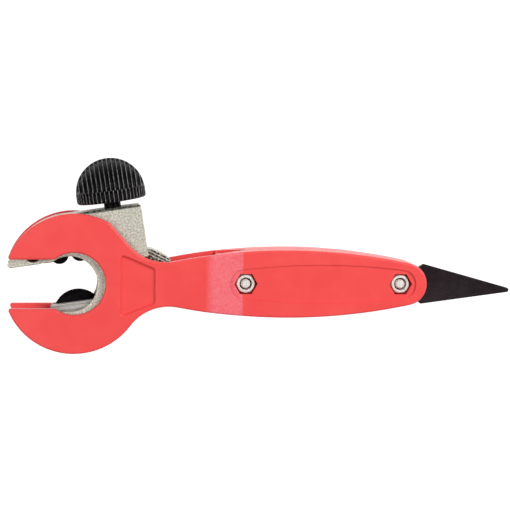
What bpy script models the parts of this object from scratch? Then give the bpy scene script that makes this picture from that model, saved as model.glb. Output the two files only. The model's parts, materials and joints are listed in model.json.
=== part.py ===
"""Ratcheting pipe cutter: a C-shaped cutter head that turns in a two-shell handle, with a fold-away reamer.

Every size below is in millimetres. MM turns it into metres where a mesh, a modifier or a location is made.
The drawing frame has the throat's centre as its origin, +X along the handle, +Y towards the feed knob and
+Z through the thickness. The "tool" empty then sets the whole object down on its reference point.
"""
import math

import bmesh
import bpy
from mathutils import Matrix, Vector

MM = 0.001
GAP = 0.3                   # clearance kept between neighbouring pieces

# Object placement: the drawing frame's origin in the finished object's frame
TOOL_ORIGIN = (-72.358, -10.388, 13.2)

# Shells: outline
LOBE_RADIUS = 26.6
THROAT_RADIUS = 11.8
MOUTH_TOP = 9.2
MOUTH_BOTTOM = -9.4
JAW_TIP_X = -24.2
SIDE_APEX_X = 81.8          # the handle is widest here
SIDE_HALF_WIDTH = 12.98
SIDE_RADIUS = 226.0
END_RADIUS = 8.2
NECK_FILLET = 18.0
CHORD_ANGLE = 41.0          # direction of the flat that clears the feed block
CHORD_DISTANCE = 25.25

# Shells: thickness levels, measured from the middle plane
SPLIT_Z = 0.15
HEAD_GAP_Z = 8.3
LOBE_FACE_Z = 11.1
HANDLE_FACE_Z = 9.7
RAMP_START_X = 49.5
RAMP_END_X = 64.3
EDGE_ROUND = 1.2
HEAD_GAP_END_X = 54.5
CAVITY_START_X = 57.0
WALL = 2.2
PLATE_INNER_Z = 7.2
GUIDE_INNER_RADIUS = 13.4
GUIDE_OUTER_RADIUS = 14.8
GUIDE_DEPTH = 1.1

# Bolts
FRONT_BOLT_X = 65.3
REAR_BOLT_X = 125.2
BOLT_RADIUS = 2.0
NUT_FLATS = 7.0
NUT_POCKET_FLATS = 7.8
NUT_BOTTOM_Z = 4.7
NUT_TOP_Z = 7.9
BOLT_END_Z = 8.3
BOSS_RADIUS = 6.2
HEAD_RADIUS = 3.9
BOLT_HEAD_TOP_Z = 7.6
BOLT_HEAD_BASE_Z = 5.2

# Reamer blade, about the rear bolt
BLADE_HALF_THICKNESS = 1.3
BLADE_SLOT_Z = 1.65
BLADE_LENGTH = 44.6
BLADE_HUB = 6.4
BLADE_HALF_WIDTH = 7.8
BLADE_REST_ANGLE = -3.9
WASHER_RADIUS = 5.0
WASHER_Z = (1.6, 2.4)
BOSS_END_Z = 2.7

# Ratchet pawl: it slides along X on a guide pin, and is drawn pulled back, just clear of the teeth
PAWL_PIN = (36.5, -2.8)
PAWL_HALF_THICKNESS = 5.0
PAWL_PIN_RADIUS = 1.5
PAWL_TRAVEL = 0.9
PAWL_BACK_X = 41.5
SPRING_SEAT_X = 46.5

# Cutter head, in its own frame that is turned about the throat's centre
HEAD_ANGLE = 8.3
HEAD_HALF_THICKNESS = 8.0
COVER_JOINT_Z = 5.1
COVER_BASE_Z = 5.4
CAVITY_Z = 5.1
RIM_RADIUS = 26.0
TOOTH_ROOT_RADIUS = 24.9
TOOTH_PITCH = 5.0
HEAD_THROAT_RADIUS = 10.5
HEAD_THROAT_U = -1.6
UPPER_JAW_V = 9.05
LOWER_JAW_V = -10.2
BLOCK_RIGHT_U = 29.3
BLOCK_BOTTOM_V = 6.2
SCREW_U = 18.6
COVER_SCREWS = ((-13.46, 13.53), (9.5, 18.0), (-13.4, -15.4))
COVER_DOWEL = (25.6, 13.5)

# Rollers
ROLLER_U = 3.95
ROLLER_V = 11.2
ROLLER_RADIUS = 3.5
ROLLER_HALF_LENGTH = 4.8
ROLLER_PIN_RADIUS = 1.2

# Carriage, wheel and feed
WHEEL_V = -12.4
WHEEL_RADIUS = 9.5
WHEEL_HALF_THICKNESS = 1.6
WHEEL_SLOT_Z = 1.9
CARRIAGE_HALF_THICKNESS = 4.8
CARRIAGE_TOP_V = -7.4
TRAVEL_CLOSE = 9.5
TRAVEL_OPEN = 3.0
FEED_RADIUS = 3.0
STEM_RADIUS = 3.2           # the screw's plain neck, through the block and up to the knob
KNOB_RADIUS = 13.2
KNOB_BOTTOM_V = 28.3
KNOB_BAND_V = 33.1
KNOB_TOP_V = 45.0

COLLECTION = "pipe_cutter"


def clear_scene():
    for obj in list(bpy.data.objects):
        bpy.data.objects.remove(obj, do_unlink=True)


def collection(name):
    found = bpy.data.collections.get(name)
    if found is None:
        found = bpy.data.collections.new(name)
        bpy.context.scene.collection.children.link(found)
    return found


def material(name, colour, roughness, metallic):
    mat = bpy.data.materials.get(name)
    if mat is None:
        mat = bpy.data.materials.new(name)
        mat.use_nodes = True
        shader = mat.node_tree.nodes["Principled BSDF"]
        shader.inputs["Base Color"].default_value = (*colour, 1.0)
        shader.inputs["Roughness"].default_value = roughness
        shader.inputs["Metallic"].default_value = metallic
    return mat


def red_plastic():
    return material("red_plastic", (0.92, 0.10, 0.10), 0.35, 0.0)


def cast_metal():
    return material("cast_metal", (0.52, 0.50, 0.40), 0.45, 0.9)


def black_plastic():
    return material("black_plastic", (0.02, 0.02, 0.022), 0.4, 0.0)


def black_steel():
    return material("black_steel", (0.03, 0.028, 0.028), 0.45, 0.7)


def bright_steel():
    return material("bright_steel", (0.70, 0.69, 0.66), 0.3, 1.0)


def arc(centre, radius, start, end, step=7.5):
    """Points along an arc from start to end, in degrees, both ends included."""
    count = max(1, math.ceil(abs(end - start) / step))
    points = []
    for index in range(count + 1):
        angle = math.radians(start + (end - start) * index / count)
        points.append((centre[0] + radius * math.cos(angle), centre[1] + radius * math.sin(angle)))
    return points


def circle(centre, radius, steps=28):
    return arc(centre, radius, 0.0, 360.0, 360.0 / steps)[:-1]


def hexagon(centre, flats):
    return circle(centre, flats / math.sqrt(3.0), 6)


def rectangle(x0, x1, y0, y1):
    return [(x0, y0), (x1, y0), (x1, y1), (x0, y1)]


def mirrored(points):
    """The same outline on the other side of the handle's axis, run the other way."""
    return [(x, -y) for x, y in reversed(points)]


def meet_angle(centre, point):
    return math.degrees(math.atan2(point[1] - centre[1], point[0] - centre[0]))


def link(obj, parent=None, hidden=False):
    collection("cutters" if hidden else COLLECTION).objects.link(obj)
    obj.parent = parent
    if hidden:
        obj.hide_render = True
        obj.display_type = "WIRE"
    return obj


def flat_mesh(name, outline, low, high):
    """A closed plate between two heights, from a filled 2D curve."""
    curve = bpy.data.curves.new(name + "_outline", "CURVE")
    curve.dimensions = "2D"
    curve.fill_mode = "BOTH"
    curve.extrude = 0.5 * (high - low) * MM
    spline = curve.splines.new("POLY")
    spline.points.add(len(outline) - 1)
    for point, (x, y) in zip(spline.points, outline):
        point.co = (x * MM, y * MM, 0.0, 1.0)
    spline.use_cyclic_u = True
    source = bpy.data.objects.new(name + "_outline", curve)
    bpy.context.scene.collection.objects.link(source)
    evaluated = source.evaluated_get(bpy.context.evaluated_depsgraph_get())
    mesh = bpy.data.meshes.new_from_object(evaluated)
    bpy.data.objects.remove(source)
    mesh.transform(Matrix.Translation((0.0, 0.0, 0.5 * (low + high) * MM)))
    shape = bmesh.new()
    shape.from_mesh(mesh)
    bmesh.ops.remove_doubles(shape, verts=shape.verts, dist=0.000001)
    bmesh.ops.recalc_face_normals(shape, faces=shape.faces)
    bmesh.ops.dissolve_limit(shape, angle_limit=0.001, verts=shape.verts, edges=shape.edges)
    shape.to_mesh(mesh)
    shape.free()
    mesh.name = name
    return mesh


def finish_mesh(obj, finish):
    obj.data.materials.clear()
    obj.data.materials.append(finish())
    obj.data.shade_smooth()
    obj.data.set_sharp_from_angle(angle=math.radians(32.0))
    return obj


def plate(name, outline, low, high, finish, parent):
    obj = bpy.data.objects.new(name, flat_mesh(name, outline, low, high))
    link(obj, parent)
    return finish_mesh(obj, finish)


def cutter(name, outline, low, high, parent=None):
    return link(bpy.data.objects.new(name, flat_mesh(name, outline, low, high)), parent, hidden=True)


def rod_mesh(name, radius, start, end, steps=24):
    """A straight round bar between two points."""
    direction = Vector(end) - Vector(start)
    shape = bmesh.new()
    bmesh.ops.create_cone(shape, cap_ends=True, segments=steps, radius1=radius * MM, radius2=radius * MM,
                          depth=direction.length * MM)
    turn = direction.to_track_quat("Z", "Y").to_matrix().to_4x4()
    middle = (Vector(start) + Vector(end)) * 0.5 * MM
    bmesh.ops.transform(shape, matrix=Matrix.Translation(middle) @ turn, verts=shape.verts)
    mesh = bpy.data.meshes.new(name)
    shape.to_mesh(mesh)
    shape.free()
    return mesh


def rod_cutter(name, radius, start, end, parent=None, steps=24):
    return link(bpy.data.objects.new(name, rod_mesh(name, radius, start, end, steps)), parent, hidden=True)


def boolean(obj, other, operation="DIFFERENCE"):
    modifier = obj.modifiers.new(other.name, "BOOLEAN")
    modifier.operation = operation
    modifier.solver = "EXACT"
    modifier.object = other


def turned(name, profile, finish, parent, location, axis="Z", steps=24):
    """A turned piece: a closed (radius, height) profile, run clockwise from the outer top, swept about Z."""
    mesh = bpy.data.meshes.new(name)
    shape = bmesh.new()
    points = [shape.verts.new((radius * MM, 0.0, height * MM)) for radius, height in profile]
    pairs = list(zip(points, points[1:]))
    if profile[0][0] > 0.0 or profile[-1][0] > 0.0:
        pairs.append((points[-1], points[0]))
    for first, second in pairs:
        shape.edges.new((first, second))
    shape.to_mesh(mesh)
    shape.free()
    obj = bpy.data.objects.new(name, mesh)
    link(obj, parent)
    screw = obj.modifiers.new("turn", "SCREW")
    screw.steps = steps
    screw.render_steps = steps
    screw.use_merge_vertices = True
    screw.merge_threshold = 0.00001
    screw.use_smooth_shade = True
    obj.location = Vector(location) * MM
    if axis == "V":
        obj.rotation_euler = (-math.pi / 2.0, 0.0, 0.0)
    obj.data.materials.append(finish())
    return obj


def washer_profile(outer, inner, low, high):
    return [(outer, high), (outer, low), (inner, low), (inner, high)]


def tube_profile(outer, inner, low, high, chamfer=0.2):
    return [(outer - chamfer, high), (outer, high - chamfer), (outer, low + chamfer), (outer - chamfer, low),
            (inner, low), (inner, high)]


def rod_profile(radius, low, high, chamfer=0.2):
    return [(0.0, high), (radius - chamfer, high), (radius, high - chamfer), (radius, low + chamfer),
            (radius - chamfer, low), (0.0, low)]


# ---------------------------------------------------------------- handle shells

def side_y(x, inset=0.0):
    """Half width of the handle at x, on the long shallow arc of its side."""
    radius = SIDE_RADIUS - inset
    return SIDE_HALF_WIDTH - SIDE_RADIUS + math.sqrt(radius ** 2 - (x - SIDE_APEX_X) ** 2)


def side_arc(start_x, end_x, inset=0.0, count=9):
    xs = [start_x + (end_x - start_x) * index / count for index in range(count + 1)]
    return [(x, side_y(x, inset)) for x in xs]


def end_centre_x():
    """Centre of the handle's round end, which is tangent to both side arcs."""
    rise = SIDE_RADIUS - SIDE_HALF_WIDTH
    reach = SIDE_RADIUS - END_RADIUS
    return SIDE_APEX_X + math.sqrt(reach ** 2 - rise ** 2)


def end_tangent_angle():
    return math.degrees(math.atan2(SIDE_RADIUS - SIDE_HALF_WIDTH, end_centre_x() - SIDE_APEX_X))


def handle_end(inset=0.0):
    """The round end, from the +Y side round to the -Y side."""
    angle = end_tangent_angle()
    return arc((end_centre_x(), 0.0), END_RADIUS - inset, angle, -angle, 8.0)


def two_circle_point(first, first_radius, second, second_radius, side):
    """One of the two points where two circles cross."""
    offset = Vector((second[0] - first[0], second[1] - first[1]))
    along = (first_radius ** 2 - second_radius ** 2 + offset.length_squared) / (2.0 * offset.length)
    away = math.sqrt(first_radius ** 2 - along ** 2)
    unit = offset.normalized()
    return (first[0] + along * unit.x - side * away * unit.y, first[1] + along * unit.y + side * away * unit.x)


def lower_neck():
    """The neck's concave fillet below the axis, from the handle's side to the lobe."""
    side_centre = (SIDE_APEX_X, SIDE_RADIUS - SIDE_HALF_WIDTH)
    centre = two_circle_point((0.0, 0.0), LOBE_RADIUS + NECK_FILLET, side_centre, SIDE_RADIUS + NECK_FILLET, -1)
    start = meet_angle(centre, side_centre)
    end = meet_angle(centre, (0.0, 0.0))
    return arc(centre, NECK_FILLET, start, end)


def upper_neck():
    """The neck's fillet above the axis: it leaves the lobe along a flat that clears the feed block."""
    normal = Vector((math.cos(math.radians(CHORD_ANGLE)), math.sin(math.radians(CHORD_ANGLE))))
    along = Vector((normal.y, -normal.x))
    base = normal * (CHORD_DISTANCE + NECK_FILLET)
    side_centre = Vector((SIDE_APEX_X, SIDE_HALF_WIDTH - SIDE_RADIUS))
    reach = SIDE_RADIUS + NECK_FILLET
    offset = base - side_centre
    half = offset.dot(along)
    slide = -half - math.sqrt(half ** 2 - offset.length_squared + reach ** 2)
    centre = base + along * slide
    start = CHORD_ANGLE - 180.0
    end = meet_angle(centre, side_centre)
    return arc(centre, NECK_FILLET, start, end)


def shell_outline():
    spread = math.degrees(math.acos(CHORD_DISTANCE / LOBE_RADIUS))
    upper_jaw = math.degrees(math.asin(MOUTH_TOP / LOBE_RADIUS))
    lower_jaw = math.degrees(math.asin(-MOUTH_BOTTOM / LOBE_RADIUS))
    lower_fillet = lower_neck()
    lobe_join = meet_angle((0.0, 0.0), lower_fillet[-1])
    throat_top = math.degrees(math.asin(MOUTH_TOP / THROAT_RADIUS))
    throat_bottom = math.degrees(math.asin(-MOUTH_BOTTOM / THROAT_RADIUS))
    upper_fillet = upper_neck()
    tangent_x = end_centre_x() + END_RADIUS * math.cos(math.radians(end_tangent_angle()))

    outline = [(JAW_TIP_X, MOUTH_TOP)]
    outline += arc((0.0, 0.0), LOBE_RADIUS, 180.0 - upper_jaw - 2.0, CHORD_ANGLE + spread)
    outline += upper_fillet
    outline += side_arc(upper_fillet[-1][0], tangent_x)[1:-1]
    outline += handle_end()
    outline += mirrored(side_arc(lower_fillet[0][0], tangent_x)[1:-1])
    outline += lower_fillet
    outline += arc((0.0, 0.0), LOBE_RADIUS, lobe_join, -180.0 + lower_jaw + 2.0)[1:]
    outline += [(JAW_TIP_X, MOUTH_BOTTOM)]
    outline += arc((0.0, 0.0), THROAT_RADIUS, -180.0 + throat_bottom, 180.0 - throat_top, 7.5)
    return outline


def face_height(x):
    """The outer face steps down from the lobe to the thinner handle on a ramp."""
    share = min(1.0, max(0.0, (x - RAMP_START_X) / (RAMP_END_X - RAMP_START_X)))
    return LOBE_FACE_Z + (HANDLE_FACE_Z - LOBE_FACE_Z) * share


def shape_outer_face(mesh):
    """Lowers the outer face along the ramp and rounds its rim."""
    shape = bmesh.new()
    shape.from_mesh(mesh)
    for x in (RAMP_START_X, RAMP_END_X):
        everything = shape.verts[:] + shape.edges[:] + shape.faces[:]
        bmesh.ops.bisect_plane(shape, geom=everything, plane_co=(x * MM, 0.0, 0.0), plane_no=(1.0, 0.0, 0.0))
    for vert in shape.verts:
        if vert.co.z > PLATE_INNER_Z * MM:
            vert.co.z = face_height(vert.co.x / MM) * MM
    shape.normal_update()
    rim = []
    for edge in shape.edges:
        heights = [face.normal.z for face in edge.link_faces]
        if len(heights) == 2 and max(heights) > 0.9 and min(heights) < 0.3:
            rim.append(edge)
    bmesh.ops.bevel(shape, geom=rim, offset=EDGE_ROUND * MM, segments=2, affect="EDGES", profile=0.5,
                    clamp_overlap=True)
    shape.to_mesh(mesh)
    shape.free()


def cavity_outline():
    start = [(CAVITY_START_X, -side_y(CAVITY_START_X, WALL)), (CAVITY_START_X, side_y(CAVITY_START_X, WALL))]
    tangent_x = end_centre_x() + (END_RADIUS - WALL) * math.cos(math.radians(end_tangent_angle()))
    sides = side_arc(CAVITY_START_X, tangent_x, WALL)[1:-1]
    return start + sides + handle_end(WALL) + mirrored(sides)


def blade_slot_outline():
    """Everything the reamer blade sweeps between open and folded, about the rear bolt."""
    hub = BLADE_HUB + 0.35
    reach = BLADE_LENGTH + 0.7
    local = [(-reach, -16.0), (12.0, -16.0), (12.0, 8.4), (10.4, 7.5), (8.5, 6.2)]
    local += arc((0.0, 0.0), hub, 86.0, 94.0, 4.0)
    local += [(-8.1, hub), (-10.3, BLADE_HALF_WIDTH + 0.35), (-BLADE_LENGTH, 1.3), (-reach, 0.0)]
    return [(REAR_BOLT_X + x, y) for x, y in local]


def neck_recess():
    corner = 0.8
    return [(17.2 + corner, 11.4), (17.2, 11.4 - corner), (17.2, -12.6), (17.2 + corner, -12.9),
            (30.2, -8.1), (30.9, -7.4), (30.9, 5.7), (30.2, 6.5)]


def oval_recess():
    """A long oval whose round ends are concentric with the two bolts."""
    bulge = 7.5
    front_round = arc((FRONT_BOLT_X, 0.0), 6.2, 240.0, 120.0, 10.0)
    rear_round = arc((REAR_BOLT_X, 0.0), 5.9, 60.0, -60.0, 10.0)
    first = front_round[-1]
    last = rear_round[0]
    xs = [first[0] + (last[0] - first[0]) * index / 8.0 for index in range(1, 8)]
    middle = 0.5 * (first[0] + last[0])
    half = 0.5 * (last[0] - first[0])
    upper = [(x, first[1] + (bulge - first[1]) * (1.0 - ((x - middle) / half) ** 2)) for x in xs]
    return front_round + upper + rear_round + mirrored(upper)


def guide_outline():
    return (arc((0.0, 0.0), GUIDE_OUTER_RADIUS, -133.0, 133.0) +
            arc((0.0, 0.0), GUIDE_INNER_RADIUS, 133.0, -133.0))


def head_gap_outline():
    """Where the pawl pin, the pawl and the head run between the plates."""
    return rectangle(-40.0, HEAD_GAP_END_X, -40.0, 40.0)


def shell(name, side, tool):
    """One shell, drawn on the +Z side and mirrored for the rear one."""
    mesh = flat_mesh(name, shell_outline(), SPLIT_Z, LOBE_FACE_Z)
    shape_outer_face(mesh)
    obj = link(bpy.data.objects.new(name, mesh), tool)
    finish_mesh(obj, red_plastic)
    top = LOBE_FACE_Z + 3.0

    cuts = [
        cutter(name + "_head_gap", head_gap_outline(), -1.0, HEAD_GAP_Z, tool),
        cutter(name + "_cavity", cavity_outline(), -1.0, PLATE_INNER_Z, tool),
    ]
    for index, bolt_x in enumerate((FRONT_BOLT_X, REAR_BOLT_X)):
        low = (SPLIT_Z, BOSS_END_Z)[index]
        boss = cutter(f"{name}_boss_{index}", circle((bolt_x, 0.0), BOSS_RADIUS), low, PLATE_INNER_Z + 0.8, tool)
        cuts.append((boss, "UNION"))
    cuts.append((cutter(name + "_guide", guide_outline(), HEAD_GAP_Z - GUIDE_DEPTH, HEAD_GAP_Z + 0.8, tool),
                 "UNION"))
    seat = rectangle(SPRING_SEAT_X, SPRING_SEAT_X + 1.8, -5.0, 3.6)
    cuts.append((cutter(name + "_spring_seat", seat, SPLIT_Z, HEAD_GAP_Z + 0.8, tool), "UNION"))
    cuts.append(cutter(name + "_blade_slot", blade_slot_outline(), -1.0, BLADE_SLOT_Z, tool))
    cuts.append(cutter(name + "_oval_recess", oval_recess(), HANDLE_FACE_Z - 0.6, top, tool))
    cuts.append(cutter(name + "_neck_recess", neck_recess(), LOBE_FACE_Z - 1.0, top, tool))
    cuts.append(cutter(name + "_pin_hole", circle(PAWL_PIN, PAWL_PIN_RADIUS + GAP, 24), -1.0, 10.1, tool))
    for index, bolt_x in enumerate((FRONT_BOLT_X, REAR_BOLT_X)):
        hole = circle((bolt_x, 0.0), BOLT_RADIUS + GAP, 24)
        cuts.append(cutter(f"{name}_bolt_hole_{index}", hole, -1.0, top, tool))
        if side > 0:
            pocket = hexagon((bolt_x, 0.0), NUT_POCKET_FLATS)
            floor = NUT_BOTTOM_Z - GAP
        else:
            pocket = circle((bolt_x, 0.0), HEAD_RADIUS + 0.5)
            floor = BOLT_HEAD_BASE_Z - GAP
        cuts.append(cutter(f"{name}_pocket_{index}", pocket, floor, top, tool))

    for entry in cuts:
        other, operation = entry if isinstance(entry, tuple) else (entry, "DIFFERENCE")
        boolean(obj, other, operation)
        if side < 0:
            other.data.transform(Matrix.Scale(-1.0, 4, (0.0, 0.0, 1.0)))
            other.data.flip_normals()
    if side < 0:
        obj.data.transform(Matrix.Scale(-1.0, 4, (0.0, 0.0, 1.0)))
        obj.data.flip_normals()
    return obj


def fasteners(tool):
    for name, bolt_x in (("front", FRONT_BOLT_X), ("rear", REAR_BOLT_X)):
        nut = plate(name + "_nut", hexagon((bolt_x, 0.0), NUT_FLATS), NUT_BOTTOM_Z, NUT_TOP_Z, bright_steel, tool)
        hole = rod_cutter(name + "_nut_hole", BOLT_RADIUS + 0.3, (bolt_x, 0.0, 0.0), (bolt_x, 0.0, 20.0), tool)
        boolean(nut, hole)
        profile = [
            (0.0, BOLT_END_Z), (BOLT_RADIUS - 0.4, BOLT_END_Z), (BOLT_RADIUS, BOLT_END_Z - 0.4),
            (BOLT_RADIUS, -BOLT_HEAD_BASE_Z), (HEAD_RADIUS, -BOLT_HEAD_BASE_Z),
            (HEAD_RADIUS, -BOLT_HEAD_TOP_Z + 1.0), (HEAD_RADIUS - 1.2, -BOLT_HEAD_TOP_Z),
            (0.0, -BOLT_HEAD_TOP_Z),
        ]
        turned(name + "_bolt", profile, bright_steel, tool, (bolt_x, 0.0, 0.0))


# ---------------------------------------------------------------- reamer

def blade_outline():
    """Symmetric about its own axis: a round hub, two shoulders and a long point."""
    tip_radius = 0.9
    side = [(8.03, BLADE_HUB), (10.09, BLADE_HALF_WIDTH)]
    tip = arc((BLADE_LENGTH - tip_radius, 0.0), tip_radius, 78.0, -78.0, 26.0)
    hub = arc((0.0, 0.0), BLADE_HUB, 270.0, 90.0, 9.0)
    return hub + side + tip + mirrored(side)


def reamer(tool):
    pivot = bpy.data.objects.new("reamer_pivot", None)
    link(pivot, tool)
    pivot.location = Vector((REAR_BOLT_X, 0.0, 0.0)) * MM
    pivot.rotation_euler.z = math.radians(BLADE_REST_ANGLE)
    blade = plate("reamer_blade", blade_outline(), -BLADE_HALF_THICKNESS, BLADE_HALF_THICKNESS, black_steel, pivot)
    boolean(blade, rod_cutter("reamer_bore", BOLT_RADIUS + GAP, (0.0, 0.0, -5.0), (0.0, 0.0, 5.0), pivot))
    for name, side in (("front", 1.0), ("rear", -1.0)):
        low, high = sorted((side * WASHER_Z[0], side * WASHER_Z[1]))
        turned("reamer_washer_" + name, washer_profile(WASHER_RADIUS, BOLT_RADIUS + GAP, low, high),
               bright_steel, tool, (REAR_BOLT_X, 0.0, 0.0))


# ---------------------------------------------------------------- ratchet pawl

def pawl_outline():
    """Tooth on the left, thumb tab at the top, square body with the pin's slot on the right."""
    tooth = [(31.0, -6.8), (27.7, -2.6), (26.25, -0.35), (28.2, 0.5), (30.2, 1.2)]
    tab = [(32.0, 2.2), (32.2, 6.2), (28.9, 7.9), (27.9, 9.6), (27.2, 12.7), (27.6, 13.0), (29.3, 13.0),
           (31.0, 12.3), (33.0, 11.4), (34.9, 10.3), (36.3, 9.3), (36.7, 8.6)]
    back = [(37.2, 6.2), (PAWL_BACK_X, 4.0), (PAWL_BACK_X, -5.8), (40.5, -6.8)]
    return tooth + tab + back


def pin_slot():
    """The pawl's slot for its guide pin, long enough for the pawl's travel."""
    radius = PAWL_PIN_RADIUS + GAP
    far = (PAWL_PIN[0] + PAWL_TRAVEL + 0.1, PAWL_PIN[1])
    near = (PAWL_PIN[0] - 0.1, PAWL_PIN[1])
    return arc(far, radius, -90.0, 90.0, 15.0) + arc(near, radius, 90.0, 270.0, 15.0)


def pawl(tool):
    piece = plate("ratchet_pawl", pawl_outline(), -PAWL_HALF_THICKNESS, PAWL_HALF_THICKNESS, cast_metal, tool)
    boolean(piece, cutter("pawl_slot", pin_slot(), -9.0, 9.0, tool))
    turned("pawl_guide_pin", rod_profile(PAWL_PIN_RADIUS, -9.8, 9.8), bright_steel, tool, (*PAWL_PIN, 0.0))
    spring(tool)


def spring(tool):
    """A small compression spring between the pawl's back and the seat in the shells."""
    start_x = PAWL_BACK_X + GAP + 0.4
    length = SPRING_SEAT_X - GAP - 0.4 - start_x
    turns = 5
    points_per_turn = 12
    coil = bpy.data.curves.new("pawl_spring", "CURVE")
    coil.dimensions = "3D"
    coil.bevel_depth = 0.3 * MM
    coil.bevel_resolution = 1
    coil.use_fill_caps = True
    count = turns * points_per_turn
    path = coil.splines.new("POLY")
    path.points.add(count)
    for index in range(count + 1):
        angle = 2.0 * math.pi * index / points_per_turn
        x = start_x + length * index / count
        y = -1.0 + 1.7 * math.cos(angle)
        z = 1.7 * math.sin(angle)
        path.points[index].co = (x * MM, y * MM, z * MM, 1.0)
    obj = link(bpy.data.objects.new("pawl_spring", coil), tool)
    obj.data.materials.append(bright_steel())


# ---------------------------------------------------------------- cutter head

def throat_angle(v):
    return math.degrees(math.asin(v / HEAD_THROAT_RADIUS))


def head_outline(toothed):
    """C outline: rim, feed block, throat and both jaws, drawn clockwise from the upper jaw's tip."""
    block_angle = math.degrees(math.asin(BLOCK_BOTTOM_V / RIM_RADIUS))
    outline = [(-22.9, UPPER_JAW_V), (-23.8, 9.9)]
    outline += arc((0.0, 0.0), RIM_RADIUS, 155.0, 90.0)
    outline += [(BLOCK_RIGHT_U - 1.2, RIM_RADIUS), (BLOCK_RIGHT_U, RIM_RADIUS - 1.2)]
    outline += [(BLOCK_RIGHT_U, BLOCK_BOTTOM_V), (RIM_RADIUS * math.cos(math.radians(block_angle)), BLOCK_BOTTOM_V)]
    if toothed:
        for index in range(28):
            angle = 12.3 - index * TOOTH_PITCH
            outline += arc((0.0, 0.0), RIM_RADIUS, angle, angle)[:1]
            outline += arc((0.0, 0.0), TOOTH_ROOT_RADIUS, angle, angle)[:1]
    else:
        outline += arc((0.0, 0.0), RIM_RADIUS, 12.3, -125.0)
    outline += [(-17.2, -19.0), (-17.0, LOWER_JAW_V)]
    outline += arc((HEAD_THROAT_U, 0.0), HEAD_THROAT_RADIUS, -180.0 - throat_angle(LOWER_JAW_V),
                   180.0 - throat_angle(UPPER_JAW_V), 7.5)
    return outline


def carriage_outline():
    """The carriage at rest: wheel yoke on the left, arm with the feed thread on the right."""
    return [(-10.1, -8.0), (-9.5, CARRIAGE_TOP_V), (13.6, CARRIAGE_TOP_V), (15.0, -6.0), (15.0, 3.0),
            (22.2, 3.0), (22.2, -5.0), (14.0, -14.0), (8.5, -16.6), (-8.6, -16.6), (-10.1, -15.4)]


def carriage_space():
    """The room the carriage needs over its travel, with clearance."""
    low = TRAVEL_OPEN + 0.5
    high = TRAVEL_CLOSE + 0.5
    return [(-10.5, -16.6 - low), (8.7, -16.6 - low), (14.3, -14.1 - low), (22.55, -5.1 - low),
            (22.55, 3.0 + high), (14.6, 3.0 + high), (14.6, CARRIAGE_TOP_V + high + 1.0),
            (7.0, CARRIAGE_TOP_V + high), (-10.5, CARRIAGE_TOP_V + 2.0)]


def head_casting(head):
    obj = plate("head_casting", head_outline(True), -HEAD_HALF_THICKNESS, COVER_JOINT_Z, cast_metal, head)
    top = COVER_JOINT_Z + 3.0
    boolean(obj, cutter("casting_tab_pocket", rectangle(27.4, 32.0, 4.0, 9.4), -PAWL_HALF_THICKNESS - GAP, top,
                        head))
    boolean(obj, cutter("casting_carriage_space", carriage_space(), -CAVITY_Z, top, head))
    for name, side in (("left", -1.0), ("right", 1.0)):
        pocket = circle((side * ROLLER_U, ROLLER_V), ROLLER_RADIUS + 0.4)
        boolean(obj, cutter(f"casting_roller_{name}", pocket, -CAVITY_Z, top, head))
        boolean(obj, rod_cutter(f"casting_pin_{name}", ROLLER_PIN_RADIUS + GAP,
                                (side * ROLLER_U, ROLLER_V, -6.3), (side * ROLLER_U, ROLLER_V, 9.0), head))
    mouth = [(-ROLLER_U, 7.0), (ROLLER_U, 7.0), (ROLLER_U, 12.5), (-ROLLER_U, 12.5)]
    boolean(obj, cutter("casting_roller_gap", mouth, -CAVITY_Z, top, head))
    boolean(obj, cutter("casting_wheel_slot", rectangle(-10.6, 10.6, -30.0, -15.0), -WHEEL_SLOT_Z, WHEEL_SLOT_Z,
                        head))
    boolean(obj, rod_cutter("casting_screw_bore", FEED_RADIUS + GAP, (SCREW_U, 11.0, 0.0), (SCREW_U, 30.0, 0.0),
                            head))
    boolean(obj, rod_cutter("casting_stem_bore", STEM_RADIUS + GAP, (SCREW_U, 22.0, 0.0), (SCREW_U, 30.0, 0.0),
                            head))
    boolean(obj, cutter("casting_collar_pocket", rectangle(SCREW_U - 4.9, SCREW_U + 4.9, 20.2, 24.6), -4.9, top,
                        head))
    boolean(obj, guide_groove("casting_groove", -HEAD_HALF_THICKNESS - 1.0, -HEAD_HALF_THICKNESS + 1.3, head))
    for index, (u, v) in enumerate(COVER_SCREWS):
        boolean(obj, rod_cutter(f"casting_screw_hole_{index}", 1.6 + GAP, (u, v, -4.5), (u, v, 9.0), head, 20))
    u, v = COVER_DOWEL
    boolean(obj, rod_cutter("casting_dowel_hole", 1.5 + GAP, (u, v, -1.0), (u, v, 9.0), head, 20))
    return obj


def guide_groove(name, low, high, head):
    """A ring cutter that clears the shells' guide rail."""
    ring = link(bpy.data.objects.new(name, bpy.data.meshes.new(name)), head, hidden=True)
    shape = bmesh.new()
    inner = GUIDE_INNER_RADIUS - GAP
    outer = GUIDE_OUTER_RADIUS + GAP
    corners = [shape.verts.new((radius * MM, 0.0, z * MM))
               for radius, z in ((outer, high), (outer, low), (inner, low), (inner, high))]
    for first, second in zip(corners, corners[1:] + corners[:1]):
        shape.edges.new((first, second))
    shape.to_mesh(ring.data)
    shape.free()
    screw = ring.modifiers.new("turn", "SCREW")
    screw.steps = 48
    screw.render_steps = 48
    screw.use_merge_vertices = True
    screw.merge_threshold = 0.00001
    return ring


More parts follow.
